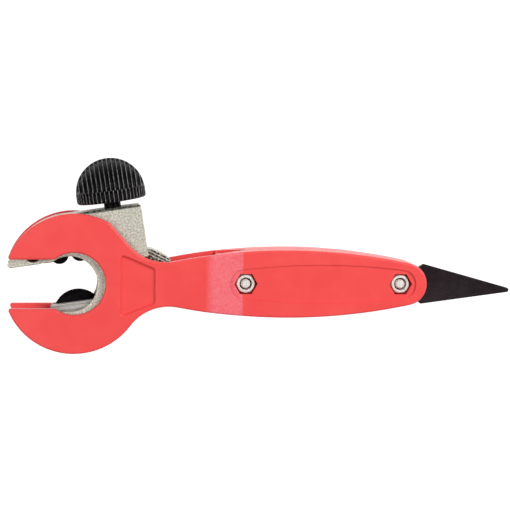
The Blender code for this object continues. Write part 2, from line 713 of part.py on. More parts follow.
def head_cover(head):
    obj = plate("head_cover", head_outline(False), COVER_BASE_Z, HEAD_HALF_THICKNESS, cast_metal, head)
    boolean(obj, guide_groove("cover_groove", HEAD_HALF_THICKNESS - 1.3, HEAD_HALF_THICKNESS + 1.0, head))
    for name, side in (("left", -1.0), ("right", 1.0)):
        boolean(obj, rod_cutter(f"cover_pin_{name}", ROLLER_PIN_RADIUS + GAP,
                                (side * ROLLER_U, ROLLER_V, 4.0), (side * ROLLER_U, ROLLER_V, 6.3), head))
    for index, (u, v) in enumerate(COVER_SCREWS):
        boolean(obj, rod_cutter(f"cover_screw_hole_{index}", 1.6 + GAP, (u, v, 4.0), (u, v, 9.0), head, 20))
        boolean(obj, rod_cutter(f"cover_screw_sink_{index}", 3.3 + GAP, (u, v, 6.0), (u, v, 9.0), head))
        profile = [(0.0, 7.8), (2.9, 7.8), (3.3, 7.4), (3.3, 6.3), (1.6, 6.3), (1.6, -4.0), (0.0, -4.0)]
        turned(f"cover_screw_{index + 1}", profile, black_steel, head, (u, v, 0.0), steps=24)
    u, v = COVER_DOWEL
    boolean(obj, rod_cutter("cover_dowel_hole", 1.5 + GAP, (u, v, 4.0), (u, v, 7.0), head, 20))
    turned("cover_dowel", rod_profile(1.5, -0.5, 6.5), bright_steel, head, (u, v, 0.0), steps=24)
    return obj


def rollers(head):
    for name, side in (("left", -1.0), ("right", 1.0)):
        place = (side * ROLLER_U, ROLLER_V, 0.0)
        turned("roller_" + name, tube_profile(ROLLER_RADIUS, ROLLER_PIN_RADIUS + GAP, -ROLLER_HALF_LENGTH,
                                              ROLLER_HALF_LENGTH, 0.4), black_steel, head, place)
        turned("roller_pin_" + name, rod_profile(ROLLER_PIN_RADIUS, -6.0, 6.0), bright_steel, head, place, steps=24)


def carriage(head):
    obj = plate("cutter_carriage", carriage_outline(), -CARRIAGE_HALF_THICKNESS, CARRIAGE_HALF_THICKNESS,
                bright_steel, head)
    boolean(obj, cutter("carriage_wheel_slot", rectangle(-10.6, 10.6, -30.0, 0.0), -WHEEL_SLOT_Z, WHEEL_SLOT_Z,
                        head))
    boolean(obj, rod_cutter("carriage_thread", FEED_RADIUS + GAP, (SCREW_U, -20.0, 0.0), (SCREW_U, 20.0, 0.0),
                            head))
    boolean(obj, rod_cutter("carriage_axle_hole", 1.5 + GAP, (0.0, WHEEL_V, -9.0), (0.0, WHEEL_V, 9.0), head))
    turned("wheel_axle", rod_profile(1.5, -CARRIAGE_HALF_THICKNESS, CARRIAGE_HALF_THICKNESS), bright_steel, head,
           (0.0, WHEEL_V, 0.0))
    half = WHEEL_HALF_THICKNESS
    profile = [(1.8, half), (4.0, half), (4.4, 0.9), (7.6, 0.9), (WHEEL_RADIUS, 0.05), (WHEEL_RADIUS, -0.05),
               (7.6, -0.9), (4.4, -0.9), (4.0, -half), (1.8, -half)]
    turned("cutter_wheel", profile, black_steel, head, (0.0, WHEEL_V, 0.0), steps=36)


def feed(head):
    """Feed screw, its thrust washer and the knob, about the screw's axis."""
    place = (SCREW_U, 0.0, 0.0)
    profile = [(0.0, 36.0), (2.4, 36.0), (2.6, 35.8), (2.6, 28.0), (STEM_RADIUS, 28.0), (STEM_RADIUS, 22.6),
               (4.6, 22.6), (4.6, 20.6), (FEED_RADIUS, 20.6), (FEED_RADIUS, -8.1), (2.5, -8.6), (0.0, -8.6)]
    turned("feed_screw", profile, black_steel, head, place, axis="V")
    turned("thrust_washer", washer_profile(4.6, STEM_RADIUS + GAP, 22.9, 24.3), bright_steel, head, place, axis="V")
    dome_centre = 32.2
    dome_height = KNOB_TOP_V - dome_centre
    dome_radius = KNOB_RADIUS - 0.15
    dome = [(dome_radius * math.sin(math.radians(angle)), dome_centre + dome_height * math.cos(math.radians(angle)))
            for angle in range(0, 85, 12)]
    band = [(KNOB_RADIUS - 0.2, KNOB_BAND_V), (KNOB_RADIUS, KNOB_BAND_V - 0.3), (KNOB_RADIUS, 29.4),
            (KNOB_RADIUS - 1.1, KNOB_BOTTOM_V), (2.9, KNOB_BOTTOM_V), (2.9, 36.3), (0.0, 36.3)]
    turned("feed_knob", dome + band, black_plastic, head, place, axis="V", steps=40)


def build():
    clear_scene()
    tool = bpy.data.objects.new("tool", None)
    link(tool)
    tool.location = Vector(TOOL_ORIGIN) * MM
    head = bpy.data.objects.new("head", None)
    link(head, tool)
    head.rotation_euler.z = math.radians(HEAD_ANGLE)
    shell("front_shell", 1, tool)
    shell("rear_shell", -1, tool)
    fasteners(tool)
    reamer(tool)
    pawl(tool)
    head_casting(head)
    head_cover(head)
    rollers(head)
    carriage(head)
    feed(head)


build()
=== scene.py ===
"""Looks for the ratcheting pipe cutter: fine meshes, materials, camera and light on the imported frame.

Shapes are drawn in millimetres and then set into the row frame. The tool's drawing frame has the throat's
centre as its origin, +X along the handle, +Y towards the knob and +Z out of the front shell. The head's own
frame is the same one turned about that centre: U and V stand for its X and Y.
"""
import json
import math

import bmesh
import bpy
from mathutils import Matrix, Vector


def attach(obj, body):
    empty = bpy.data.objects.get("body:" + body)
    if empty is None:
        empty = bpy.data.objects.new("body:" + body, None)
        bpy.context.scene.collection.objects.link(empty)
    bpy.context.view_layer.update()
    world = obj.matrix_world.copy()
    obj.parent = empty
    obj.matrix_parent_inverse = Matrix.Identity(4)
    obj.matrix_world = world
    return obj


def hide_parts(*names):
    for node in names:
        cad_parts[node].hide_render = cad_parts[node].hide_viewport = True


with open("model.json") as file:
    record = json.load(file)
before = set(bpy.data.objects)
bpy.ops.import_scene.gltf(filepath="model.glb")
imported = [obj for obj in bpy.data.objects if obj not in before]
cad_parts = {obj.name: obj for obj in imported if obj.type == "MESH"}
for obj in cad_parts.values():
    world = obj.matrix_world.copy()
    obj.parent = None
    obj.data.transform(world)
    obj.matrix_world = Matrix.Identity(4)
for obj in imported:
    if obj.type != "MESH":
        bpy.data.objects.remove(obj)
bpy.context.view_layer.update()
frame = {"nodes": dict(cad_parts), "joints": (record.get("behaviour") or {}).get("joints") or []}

MM = 0.001
GAP = 0.3                   # clearance between neighbouring pieces, as in the CAD
OVERLAP = 0.8               # how far a boss runs into the plate it joins
JOINTS = {joint["name"]: joint for joint in frame["joints"]}
FEED_AXIS = Vector(JOINTS["feed_turn"]["axis"])
TOOL = Matrix.Translation(JOINTS["head_swing"]["pos_m"]) @ Matrix.Scale(MM, 4)
HEAD = TOOL @ Matrix.Rotation(math.atan2(FEED_AXIS.x, -FEED_AXIS.y), 4, "Z")

# Shells
LOBE_RADIUS = 26.6
THROAT_RADIUS = 11.8
MOUTH_TOP = 9.2
MOUTH_BOTTOM = -9.4
JAW_TIP_X = -24.2
SIDE_APEX_X = 81.8
SIDE_HALF_WIDTH = 12.98
SIDE_RADIUS = 226.0
END_RADIUS = 8.2
NECK_FILLET = 18.0
CHORD_ANGLE = 41.0
CHORD_DISTANCE = 25.25
SPLIT_Z = 0.15
HEAD_GAP_Z = 8.3
LOBE_FACE_Z = 11.1
HANDLE_FACE_Z = 9.7
RAMP_START_X = 49.5
RAMP_END_X = 64.3
EDGE_ROUND = 1.5
HEAD_GAP_END_X = 54.5
SLIT_START_X = 53.5         # from here the gap for the head closes up along the handle's upper side
SLIT_END_X = 66.0
SLIT_FLOOR_Y = 10.6         # it stays in the wall and doesn't reach the cavity
CAVITY_START_X = 57.0
WALL = 2.2
PLATE_INNER_Z = 7.2
GUIDE_INNER_RADIUS = 13.4
GUIDE_OUTER_RADIUS = 14.8
GUIDE_DEPTH = 1.1
GUIDE_SPREAD = 133.0        # degrees each side of the handle
SPRING_SEAT = (46.5, 48.3, -5.0, 3.6)
NECK_RECESS_DEPTH = 1.1
NECK_RECESS_WALL = 1.15     # how wide the recess's sloping wall is
NECK_RECESS_CORNER = 1.9
OVAL_RECESS_DEPTH = 0.6
OVAL_RECESS_WALL = 0.8
OVAL_HALF_WIDTH = 7.5
OVAL_FRONT_RADIUS = 6.2
OVAL_REAR_RADIUS = 5.9

# Bolts
FRONT_BOLT_X = 65.3
REAR_BOLT_X = 125.2
BOLT_RADIUS = 2.0
NUT_FLATS = 7.0
NUT_POCKET_FLATS = 7.8
NUT_BOTTOM_Z = 4.7
NUT_TOP_Z = 7.9
NUT_SHOULDER_Z = 6.3        # where the hexagon ends and the lock nut's round collar begins
NUT_COLLAR = 3.48
BOLT_END_Z = 8.3
BOSS_RADIUS = 6.2
HEAD_RADIUS = 3.9
BOLT_HEAD_TOP_Z = 7.6
BOLT_HEAD_BASE_Z = 5.2

# Reamer blade, about the rear bolt
BLADE_HALF_THICKNESS = 1.3
BLADE_SLOT_Z = 1.65
BLADE_LENGTH = 44.6
BLADE_HUB = 6.4
BLADE_HALF_WIDTH = 7.8
BLADE_REST_ANGLE = -3.9
WASHER_RADIUS = 5.0
WASHER_Z = (1.6, 2.4)
BOSS_END_Z = 2.7

# Ratchet pawl
PAWL_PIN = (36.5, -2.8)
PAWL_HALF_THICKNESS = 5.0
PAWL_PIN_RADIUS = 1.5
PAWL_TRAVEL = 0.9
PAWL_BACK_X = 41.5

# Cutter head
HEAD_HALF_THICKNESS = 8.0
COVER_STEP = 0.5            # the cover stops this far short of the casting along the block's top
COVER_JOINT_Z = 5.1
COVER_BASE_Z = 5.4
CAVITY_Z = 5.1
RIM_RADIUS = 26.0
TOOTH_ROOT_RADIUS = 24.9
TOOTH_PITCH = 5.0           # degrees, like the two below
TOOTH_START = 12.3
TOOTH_COUNT = 28
TAB_POCKET = (27.4, 32.0, 4.0, 9.4)
HEAD_THROAT_RADIUS = 10.5
HEAD_THROAT_U = -1.6
UPPER_JAW_V = 9.05
LOWER_JAW_V = -10.2
BLOCK_RIGHT_U = 29.3
BLOCK_BOTTOM_V = 6.2
SCREW_U = 18.6
COVER_SCREWS = ((-13.46, 13.53), (9.5, 18.0), (-13.4, -15.4))
SCREW_SHANK = 1.6           # radii of the cover screws' shanks and heads
SCREW_HEAD = 3.3
COVER_DOWEL = (25.6, 13.5)
DOWEL_RADIUS = 1.5
AXLE_RADIUS = 1.5
ROLLER_U = 3.95
ROLLER_V = 11.2
ROLLER_RADIUS = 3.5
ROLLER_HALF_LENGTH = 4.8
ROLLER_PIN_RADIUS = 1.2
WHEEL_V = -12.4
WHEEL_RADIUS = 9.5
WHEEL_HALF_THICKNESS = 1.6
WHEEL_SLOT_Z = 1.9
CARRIAGE_HALF_THICKNESS = 4.8
CARRIAGE_TOP_V = -7.4
TRAVEL_CLOSE = 9.5
TRAVEL_OPEN = 3.0
FEED_RADIUS = 3.0
STEM_RADIUS = 3.2

# Feed knob
KNOB_RADIUS = 13.2
KNOB_BOTTOM_V = 28.6
KNOB_BAND_V = 33.1
KNOB_TOP_V = 45.0
DOME_CENTRE_V = 32.2
BAND_FLUTES = 50
DOME_FLUTE_PITCH = 1.68
FLUTE_DEPTH = 0.75
KNOB_BORE = 2.9             # radius of the blind bore for the feed screw
KNOB_BORE_END_V = 36.3

FINE = 2.5                  # degrees between points on a fine arc


# ---- outlines

def arc(centre, radius, start, end, step=FINE):
    """Points along an arc from start to end, in degrees, both ends included."""
    count = max(1, math.ceil(abs(end - start) / step))
    points = []
    for index in range(count + 1):
        angle = math.radians(start + (end - start) * index / count)
        points.append((centre[0] + radius * math.cos(angle), centre[1] + radius * math.sin(angle)))
    return points


def circle(centre, radius, steps=64):
    return arc(centre, radius, 0.0, 360.0, 360.0 / steps)[:-1]


def hexagon(centre, flats):
    """A hexagon with two of its corners on the X axis; flats is the width across its flats."""
    return circle(centre, flats / math.sqrt(3.0), 6)


def rectangle(x0, x1, y0, y1):
    return [(x0, y0), (x1, y0), (x1, y1), (x0, y1)]


def mirrored(points):
    return [(x, -y) for x, y in reversed(points)]


def meet_angle(centre, point):
    return math.degrees(math.atan2(point[1] - centre[1], point[0] - centre[0]))


def signed_area(points):
    pairs = zip(points, points[1:] + points[:1])
    return 0.5 * sum(a[0] * b[1] - b[0] * a[1] for a, b in pairs)


def counterclockwise(points):
    return points if signed_area(points) > 0.0 else list(reversed(points))


def rounded(points, radius, steps):
    """The outline with each corner smoothed, over about the width of an arc of that radius."""
    result = []
    for index, corner in enumerate(points):
        here = Vector(corner)
        before = Vector(points[index - 1]) - here
        after = Vector(points[(index + 1) % len(points)]) - here
        half = 0.5 * before.angle(after)
        reach = min(radius / math.tan(half), 0.48 * before.length, 0.48 * after.length)
        if reach < 0.01:
            result.append(corner)
            continue
        first = here + before.normalized() * reach
        last = here + after.normalized() * reach
        for step in range(steps + 1):
            share = step / steps
            blend = first.lerp(here, share).lerp(here.lerp(last, share), share)
            result.append((blend.x, blend.y))
    return result


def offset(points, distance):
    """The outline moved outwards by distance along its corner normals; negative moves it inwards."""
    result = []
    for index, point in enumerate(points):
        here = Vector(point)
        into = (here - Vector(points[index - 1])).normalized()
        out = (Vector(points[(index + 1) % len(points)]) - here).normalized()
        normal = Vector((into.y + out.y, -into.x - out.x)).normalized()
        miter = max(0.5, normal.dot(Vector((into.y, -into.x))))
        result.append((here.x + normal.x * distance / miter, here.y + normal.y * distance / miter))
    return result


# ---- mesh helpers

def loft(rings):
    """A closed solid through outlines with equal point counts, given as (outline, z) from the bottom up."""
    shape = bmesh.new()
    layers = [[shape.verts.new((x, y, z)) for x, y in counterclockwise(outline)] for outline, z in rings]
    for lower, upper in zip(layers, layers[1:]):
        for index in range(len(lower)):
            following = (index + 1) % len(lower)
            shape.faces.new((lower[index], lower[following], upper[following], upper[index]))
    shape.faces.new(list(reversed(layers[0])))
    shape.faces.new(layers[-1])
    return shape


def prism(outline, low, high):
    return loft([(outline, low), (outline, high)])


def soft_prism(outline, low, high, edge, segments):
    """A plate whose upper and lower rims are rounded."""
    shape = prism(outline, low, high)
    shape.normal_update()
    rim = [item for item in shape.edges if len({round(vert.co.z, 5) for vert in item.verts}) == 1]
    bmesh.ops.bevel(shape, geom=rim, offset=edge, segments=segments, affect="EDGES", profile=0.5,
                    clamp_overlap=True)
    return shape


def dish(outline, floor, face, run):
    """A recess cutter whose wall sweeps up in an S, over a width of run, from the floor to the face."""
    above = 3.0
    rings = []
    for index in range(9):
        share = index / 8.0
        height = share * share * (3.0 - 2.0 * share)
        rings.append((offset(outline, -run * (1.0 - share)), floor + (face - floor) * height))
    rings.append((offset(outline, 0.1), face + above))
    return loft(rings)


def rod(radius, start, end, steps=40):
    """A straight round bar between two points."""
    direction = Vector(end) - Vector(start)
    shape = bmesh.new()
    bmesh.ops.create_cone(shape, cap_ends=True, segments=steps, radius1=radius, radius2=radius,
                          depth=direction.length)
    turn = direction.to_track_quat("Z", "Y").to_matrix().to_4x4()
    middle = (Vector(start) + Vector(end)) * 0.5
    bmesh.ops.transform(shape, matrix=Matrix.Translation(middle) @ turn, verts=shape.verts)
    return shape


def turned(profile, steps=64):
    """A closed solid of revolution about Z, from (radius, height) pairs in order from the top down."""
    shape = bmesh.new()
    rings = []
    for radius, height in profile:
        if radius < 0.0001:
            rings.append([shape.verts.new((0.0, 0.0, height))])
        else:
            rings.append([shape.verts.new((radius * math.cos(angle), radius * math.sin(angle), height))
                          for angle in (2.0 * math.pi * index / steps for index in range(steps))])
    pairs = list(zip(rings, rings[1:]))
    if len(rings[0]) > 1 and len(rings[-1]) > 1:
        pairs.append((rings[-1], rings[0]))
    for upper, lower in pairs:
        for index in range(steps):
            following = (index + 1) % steps
            corners = [upper[index % len(upper)], lower[index % len(lower)],
                       lower[following % len(lower)], upper[following % len(upper)]]
            shape.faces.new(list(dict.fromkeys(corners)))
    return shape


def stand_up(shape, at):
    """Turns a shape drawn about Z so that it runs along V instead."""
    turn = Matrix.Translation(at) @ Matrix.Rotation(-math.pi / 2.0, 4, "X")
    bmesh.ops.transform(shape, matrix=turn, verts=shape.verts)
    return shape


def moved(shape, x, y=0.0):
    bmesh.ops.translate(shape, vec=(x, y, 0.0), verts=shape.verts)
    return shape


def mesh_from(name, shape):
    bmesh.ops.recalc_face_normals(shape, faces=shape.faces)
    mesh = bpy.data.meshes.new(name)
    shape.to_mesh(mesh)
    shape.free()
    return mesh


def add_object(name, data):
    obj = bpy.data.objects.new(name, data)
    bpy.context.scene.collection.objects.link(obj)
    return obj


def carve(shape, *steps):
    """Applies (operation, cutter shape) steps one after another and returns the result as a mesh."""
    body = add_object("carved", mesh_from("carved", shape))
    others = []
    for index, (operation, other) in enumerate(steps):
        cutter = add_object(f"cutter_{index}", mesh_from(f"cutter_{index}", other))
        modifier = body.modifiers.new(f"step_{index}", "BOOLEAN")
        modifier.operation = operation
        modifier.solver = "EXACT"
        modifier.object = cutter
        others.append(cutter)
    evaluated = body.evaluated_get(bpy.context.evaluated_depsgraph_get())
    mesh = bpy.data.meshes.new_from_object(evaluated)
    for obj in others + [body]:
        old = obj.data
        bpy.data.objects.remove(obj)
        bpy.data.meshes.remove(old)
    return mesh


def cut(shape):
    return ("DIFFERENCE", shape)


def join(shape):
    return ("UNION", shape)


def piece(name, mesh, place, body, finish, replaced, crease=32.0):
    """Sets a finished mesh into the row frame and hands it to the CAD body it rides on."""
    mesh.name = name
    mesh.transform(place)
    mesh.materials.clear()
    mesh.materials.append(finish)
    mesh.shade_smooth()
    mesh.set_sharp_from_angle(angle=math.radians(crease))
    obj = add_object(name, mesh)
    weighted = obj.modifiers.new("flat_faces_stay_flat", "WEIGHTED_NORMAL")
    weighted.keep_sharp = True
    weighted.weight = 80
    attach(obj, body)
    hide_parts(replaced)
    return obj


# ---- materials

class Nodes:
    """Short names for the node set-ups that the materials share."""

    def __init__(self, name, roughness, metallic=0.0, specular=0.5):
        self.material = bpy.data.materials.new(name)
        self.material.use_nodes = True
        self.tree = self.material.node_tree
        self.shader = self.tree.nodes["Principled BSDF"]
        self.shader.inputs["Roughness"].default_value = roughness
        self.shader.inputs["Metallic"].default_value = metallic
        self.shader.inputs["Specular IOR Level"].default_value = specular
        self.place = self.tree.nodes.new("ShaderNodeTexCoord").outputs["Object"]

    def node(self, kind, **values):
        made = self.tree.nodes.new(kind)
        for key, value in values.items():
            setattr(made, key, value)
        return made

    def link(self, source, target):
        self.tree.links.new(source, target)

    def noise(self, size_mm, detail, rough=0.55):
        """Noise whose blotches are about size_mm across."""
        made = self.node("ShaderNodeTexNoise")
        made.inputs["Scale"].default_value = 1.0 / (size_mm * MM)
        made.inputs["Detail"].default_value = detail
        made.inputs["Roughness"].default_value = rough
        self.link(self.place, made.inputs["Vector"])
        return made.outputs["Fac"]

    def ramp(self, source, low, high, dark, light):
        """Maps a value between low and high to two colours."""
        made = self.node("ShaderNodeValToRGB")
        made.color_ramp.elements[0].position = low
        made.color_ramp.elements[1].position = high
        made.color_ramp.elements[0].color = (*dark, 1.0)
        made.color_ramp.elements[1].color = (*light, 1.0)
        self.link(source, made.inputs["Fac"])
        return made.outputs["Color"]

    def span(self, source, low, high, first, last):
        """Maps a value from low..high to first..last."""
        made = self.node("ShaderNodeMapRange")
        for key, value in (("From Min", low), ("From Max", high), ("To Min", first), ("To Max", last)):
            made.inputs[key].default_value = value
        self.link(source, made.inputs["Value"])
        return made.outputs["Result"]

    def feed(self, socket, value):
        """Gives a socket a number or a colour, or another node's output."""
        if isinstance(value, bpy.types.NodeSocket):
            self.link(value, socket)
        elif isinstance(value, tuple):
            socket.default_value = (*value, 1.0)
        else:
            socket.default_value = value

    def mix(self, share, first, second):
        made = self.node("ShaderNodeMix", data_type="RGBA", blend_type="MIX")
        self.feed(made.inputs[0], share)
        self.feed(made.inputs[6], first)
        self.feed(made.inputs[7], second)
        return made.outputs[2]

    def maths(self, operation, first, second=0.0):
        made = self.node("ShaderNodeMath", operation=operation)
        self.feed(made.inputs[0], first)
        self.feed(made.inputs[1], second)
        return made.outputs[0]

    def times(self, first, second):
        return self.maths("MULTIPLY", first, second)

    def colour(self, source):
        self.link(source, self.shader.inputs["Base Color"])

    def roughness(self, source):
        self.link(source, self.shader.inputs["Roughness"])

    def bump(self, height, depth_mm):
        made = self.node("ShaderNodeBump")
        made.inputs["Strength"].default_value = 1.0
        made.inputs["Distance"].default_value = depth_mm * MM
        self.link(height, made.inputs["Height"])
        self.link(made.outputs["Normal"], self.shader.inputs["Normal"])

    def axis(self, name):
        made = self.node("ShaderNodeSeparateXYZ")
        self.link(self.place, made.inputs[0])
        return made.outputs[name]

    def along(self, place, direction):
        """How far a point lies from place's origin along one of its own directions."""
        unit = (place.to_3x3() @ Vector(direction)).normalized()
        made = self.node("ShaderNodeVectorMath", operation="DOT_PRODUCT")
        self.link(self.place, made.inputs[0])
        made.inputs[1].default_value = unit
        return self.maths("SUBTRACT", made.outputs["Value"], unit.dot(place.translation))


def red_plastic():
    """Glossy moulded nylon: almost even coral red, faint flow marks and a speckled painted highlight on the
    ramp.
    """
    kit = Nodes("red_plastic", 0.33, specular=0.25)
    tone = kit.ramp(kit.noise(9.0, 2.0), 0.3, 0.7, (0.785, 0.065, 0.063), (0.820, 0.077, 0.074))
    start = TOOL.translation.x + RAMP_START_X * MM
    end = TOOL.translation.x + RAMP_END_X * MM
    along = kit.axis("X")
    entering = kit.span(along, start, start + 3.2 * MM, 0.0, 1.0)
    leaving = kit.span(along, end - 0.6 * MM, end, 1.0, 0.0)
    speckle = kit.span(kit.noise(0.9, 4.0, 0.7), 0.35, 0.65, 0.3, 1.0)
    height = kit.maths("ABSOLUTE", kit.maths("SUBTRACT", kit.axis("Z"), TOOL.translation.z))
    outside = kit.span(height, (HANDLE_FACE_Z - 1.3) * MM, (HANDLE_FACE_Z - 0.5) * MM, 0.0, 1.0)
    # Painted highlight: a speckled pinkish patch where the sloping ramp catches the light, kept off the rim;
    # it also roughens the ramp a little.
    ramp_painted_highlight = kit.times(kit.times(entering, leaving), speckle)
    ramp_painted_highlight = kit.times(ramp_painted_highlight, outside)
    share = kit.times(ramp_painted_highlight, 0.65)
    kit.colour(kit.mix(share, tone, (0.77, 0.23, 0.29)))
    smear = kit.span(kit.noise(4.0, 3.0), 0.3, 0.7, 0.29, 0.37)
    kit.roughness(kit.maths("ADD", smear, kit.times(ramp_painted_highlight, 0.14)))
    kit.bump(kit.noise(0.35, 2.0), 0.004)
    return kit.material


def cast_metal():
    """Sand-grained zinc casting, warm grey and speckled."""
    kit = Nodes("cast_metal", 0.42, 0.55)
    grain = kit.noise(0.62, 2.0, 0.6)
    patches = kit.noise(3.2, 3.0)
    speckle = kit.ramp(grain, 0.36, 0.64, (0.30, 0.29, 0.23), (0.78, 0.77, 0.67))
    warm = kit.ramp(patches, 0.35, 0.65, (0.50, 0.51, 0.44), (0.60, 0.565, 0.47))
    metal = kit.mix(0.3, speckle, warm)
    # Painted shadow: a ragged dark line along the cover joint, where the gap between cover and casting falls
    # into shade.
    joint_z = TOOL.translation.z + COVER_JOINT_Z * MM
    above = kit.span(kit.axis("Z"), joint_z - 0.25 * MM, joint_z - 0.1 * MM, 0.0, 1.0)
    below = kit.span(kit.axis("Z"), joint_z + 0.1 * MM, joint_z + 0.25 * MM, 1.0, 0.0)
    ragged = kit.span(kit.noise(0.8, 3.0), 0.42, 0.5, 0.35, 1.0)
    joint_painted_shadow = kit.times(kit.times(above, below), ragged)
    kit.colour(kit.mix(joint_painted_shadow, metal, (0.035, 0.03, 0.024)))
    kit.roughness(kit.span(grain, 0.3, 0.7, 0.50, 0.34))
    kit.bump(kit.noise(0.4, 4.0, 0.7), 0.035)
    return kit.material


def black_plastic():
    """The knob's hard black plastic, with patchy painted highlights along its ridges."""
    kit = Nodes("black_plastic", 0.36, specular=0.08)
    base = kit.ramp(kit.noise(0.7, 5.0, 0.75), 0.52, 0.80, (0.0015, 0.0012, 0.0016), (0.015, 0.014, 0.015))
    u = kit.maths("DIVIDE", kit.along(HEAD, (1.0, 0.0, 0.0)), MM)
    v = kit.maths("DIVIDE", kit.along(HEAD, (0.0, 1.0, 0.0)), MM)
    w = kit.maths("DIVIDE", kit.along(HEAD, (0.0, 0.0, 1.0)), MM)
    from_axis = kit.maths("SUBTRACT", u, SCREW_U)
    dome = kit.maths("PINGPONG", kit.maths("DIVIDE", from_axis, DOME_FLUTE_PITCH), 0.5)
    turn = kit.maths("ARCTAN2", w, from_axis)
    band = kit.maths("PINGPONG", kit.times(turn, BAND_FLUTES / (2.0 * math.pi)), 0.5)
    on_dome = kit.span(v, KNOB_BAND_V - 0.1, KNOB_BAND_V + 0.1, 0.0, 1.0)
    on_band = kit.maths("SUBTRACT", 1.0, on_dome)
    ridge = kit.maths("ADD", kit.times(dome, on_dome), kit.times(band, on_band))
    # Painted highlight: the ridge tops between the flutes are made paler, patchily, where light catches
    # them.
    ridge_painted_highlight = kit.span(ridge, 0.05, 0.14, 1.0, 0.0)
    patchy = kit.span(kit.noise(1.1, 3.0, 0.65), 0.35, 0.65, 0.2, 1.0)
    kit.colour(kit.mix(kit.times(ridge_painted_highlight, patchy), base, (0.22, 0.21, 0.215)))
    kit.roughness(kit.span(kit.noise(1.4, 3.0), 0.3, 0.7, 0.3, 0.45))
    kit.bump(kit.noise(0.3, 3.0), 0.008)
    return kit.material


def black_steel():
    """Blackened steel with a slightly brighter, worn grain."""
    kit = Nodes("black_steel", 0.36, specular=0.05)
    kit.colour(kit.ramp(kit.noise(0.8, 4.0, 0.7), 0.5, 0.78, (0.0012, 0.0008, 0.001), (0.010, 0.009, 0.009)))
    kit.roughness(kit.span(kit.noise(0.6, 3.0), 0.3, 0.7, 0.30, 0.46))
    kit.bump(kit.noise(0.25, 3.0), 0.006)
    return kit.material


def bright_steel(name="bright_steel", tone=1.0):
    """Zinc-plated steel with a few dull spots; a tone below 1 makes it darker."""
    kit = Nodes(name, 0.36, 0.3)
    dull = (0.66 * tone, 0.63 * tone, 0.58 * tone)
    fresh = (0.88 * tone, 0.86 * tone, 0.82 * tone)
    kit.colour(kit.ramp(kit.noise(0.8, 3.0), 0.3, 0.7, dull, fresh))
    kit.roughness(kit.span(kit.noise(0.5, 4.0, 0.7), 0.3, 0.7, 0.28, 0.44))
    kit.bump(kit.noise(0.3, 3.0), 0.006)
    return kit.material


def file_cut(kit, angle, pitch_mm):
    """Straight parallel cuts across the blade at an angle to its length."""
    turn = kit.node("ShaderNodeMapping")
    turn.inputs["Rotation"].default_value = (0.0, 0.0, math.radians(angle))
    kit.link(kit.place, turn.inputs["Vector"])
    wave = kit.node("ShaderNodeTexWave", wave_type="BANDS", bands_direction="X", wave_profile="SIN")
    wave.inputs["Scale"].default_value = math.pi / (10.0 * pitch_mm * MM)
    wave.inputs["Distortion"].default_value = 0.0
    kit.link(turn.outputs["Vector"], wave.inputs["Vector"])
    return wave.outputs["Fac"]


def blade_steel():
    """Blackened blade: fine cross-cut file marks over its lower part, mottled oxide over the rest."""
    kit = Nodes("blade_steel", 0.5, specular=0.08)
    pivot_x = TOOL.translation.x + REAR_BOLT_X * MM
    cross = kit.span(file_cut(kit, 58.0, 0.85), 0.0, 1.0, 0.5, 1.0)
    cuts = kit.times(file_cut(kit, -36.0, 0.85), cross)
    along = kit.span(kit.axis("X"), pivot_x + 14.0 * MM, pivot_x + 34.0 * MM, 1.0, 0.25)
    below = kit.span(kit.axis("Y"), TOOL.translation.y - 4.0 * MM, TOOL.translation.y + 2.0 * MM, 1.0, 0.3)
    strength = kit.times(along, below)
    marks = kit.times(cuts, strength)
    oxide = kit.ramp(kit.noise(2.5, 4.0), 0.35, 0.7, (0.008, 0.0048, 0.0062), (0.017, 0.0115, 0.0135))
    kit.colour(kit.mix(kit.times(marks, 0.5), oxide, (0.070, 0.048, 0.055)))
    kit.roughness(kit.span(kit.noise(0.9, 3.0), 0.3, 0.7, 0.44, 0.60))
    height = kit.maths("ADD", marks, kit.times(kit.noise(0.4, 3.0), 0.2))
    kit.bump(height, 0.10)
    return kit.material


RED = red_plastic()
CAST = cast_metal()
PLASTIC = black_plastic()
BLACK = black_steel()
BRIGHT = bright_steel()
DULL = bright_steel("dull_steel", 0.62)
BLADE = blade_steel()


# ---- handle shells

def side_y(x, inset=0.0):
    radius = SIDE_RADIUS - inset
    return SIDE_HALF_WIDTH - SIDE_RADIUS + math.sqrt(radius ** 2 - (x - SIDE_APEX_X) ** 2)


def side_arc(start_x, end_x, inset=0.0):
    count = 28
    xs = [start_x + (end_x - start_x) * index / count for index in range(count + 1)]
    return [(x, side_y(x, inset)) for x in xs]


def end_centre_x():
    rise = SIDE_RADIUS - SIDE_HALF_WIDTH
    reach = SIDE_RADIUS - END_RADIUS
    return SIDE_APEX_X + math.sqrt(reach ** 2 - rise ** 2)


def end_tangent_angle():
    return math.degrees(math.atan2(SIDE_RADIUS - SIDE_HALF_WIDTH, end_centre_x() - SIDE_APEX_X))


def handle_end(inset=0.0):
    angle = end_tangent_angle()
    return arc((end_centre_x(), 0.0), END_RADIUS - inset, angle, -angle, 4.0)


def lower_neck():
    """The neck's concave fillet below the axis, from the handle's side to the lobe."""
    side_centre = Vector((SIDE_APEX_X, SIDE_RADIUS - SIDE_HALF_WIDTH))
    first = LOBE_RADIUS + NECK_FILLET
    second = SIDE_RADIUS + NECK_FILLET
    reach = side_centre.length
    along = (first ** 2 - second ** 2 + reach ** 2) / (2.0 * reach)
    away = math.sqrt(first ** 2 - along ** 2)
    unit = side_centre.normalized()
    centre = (along * unit.x + away * unit.y, along * unit.y - away * unit.x)
    return arc(centre, NECK_FILLET, meet_angle(centre, side_centre), meet_angle(centre, (0.0, 0.0)))


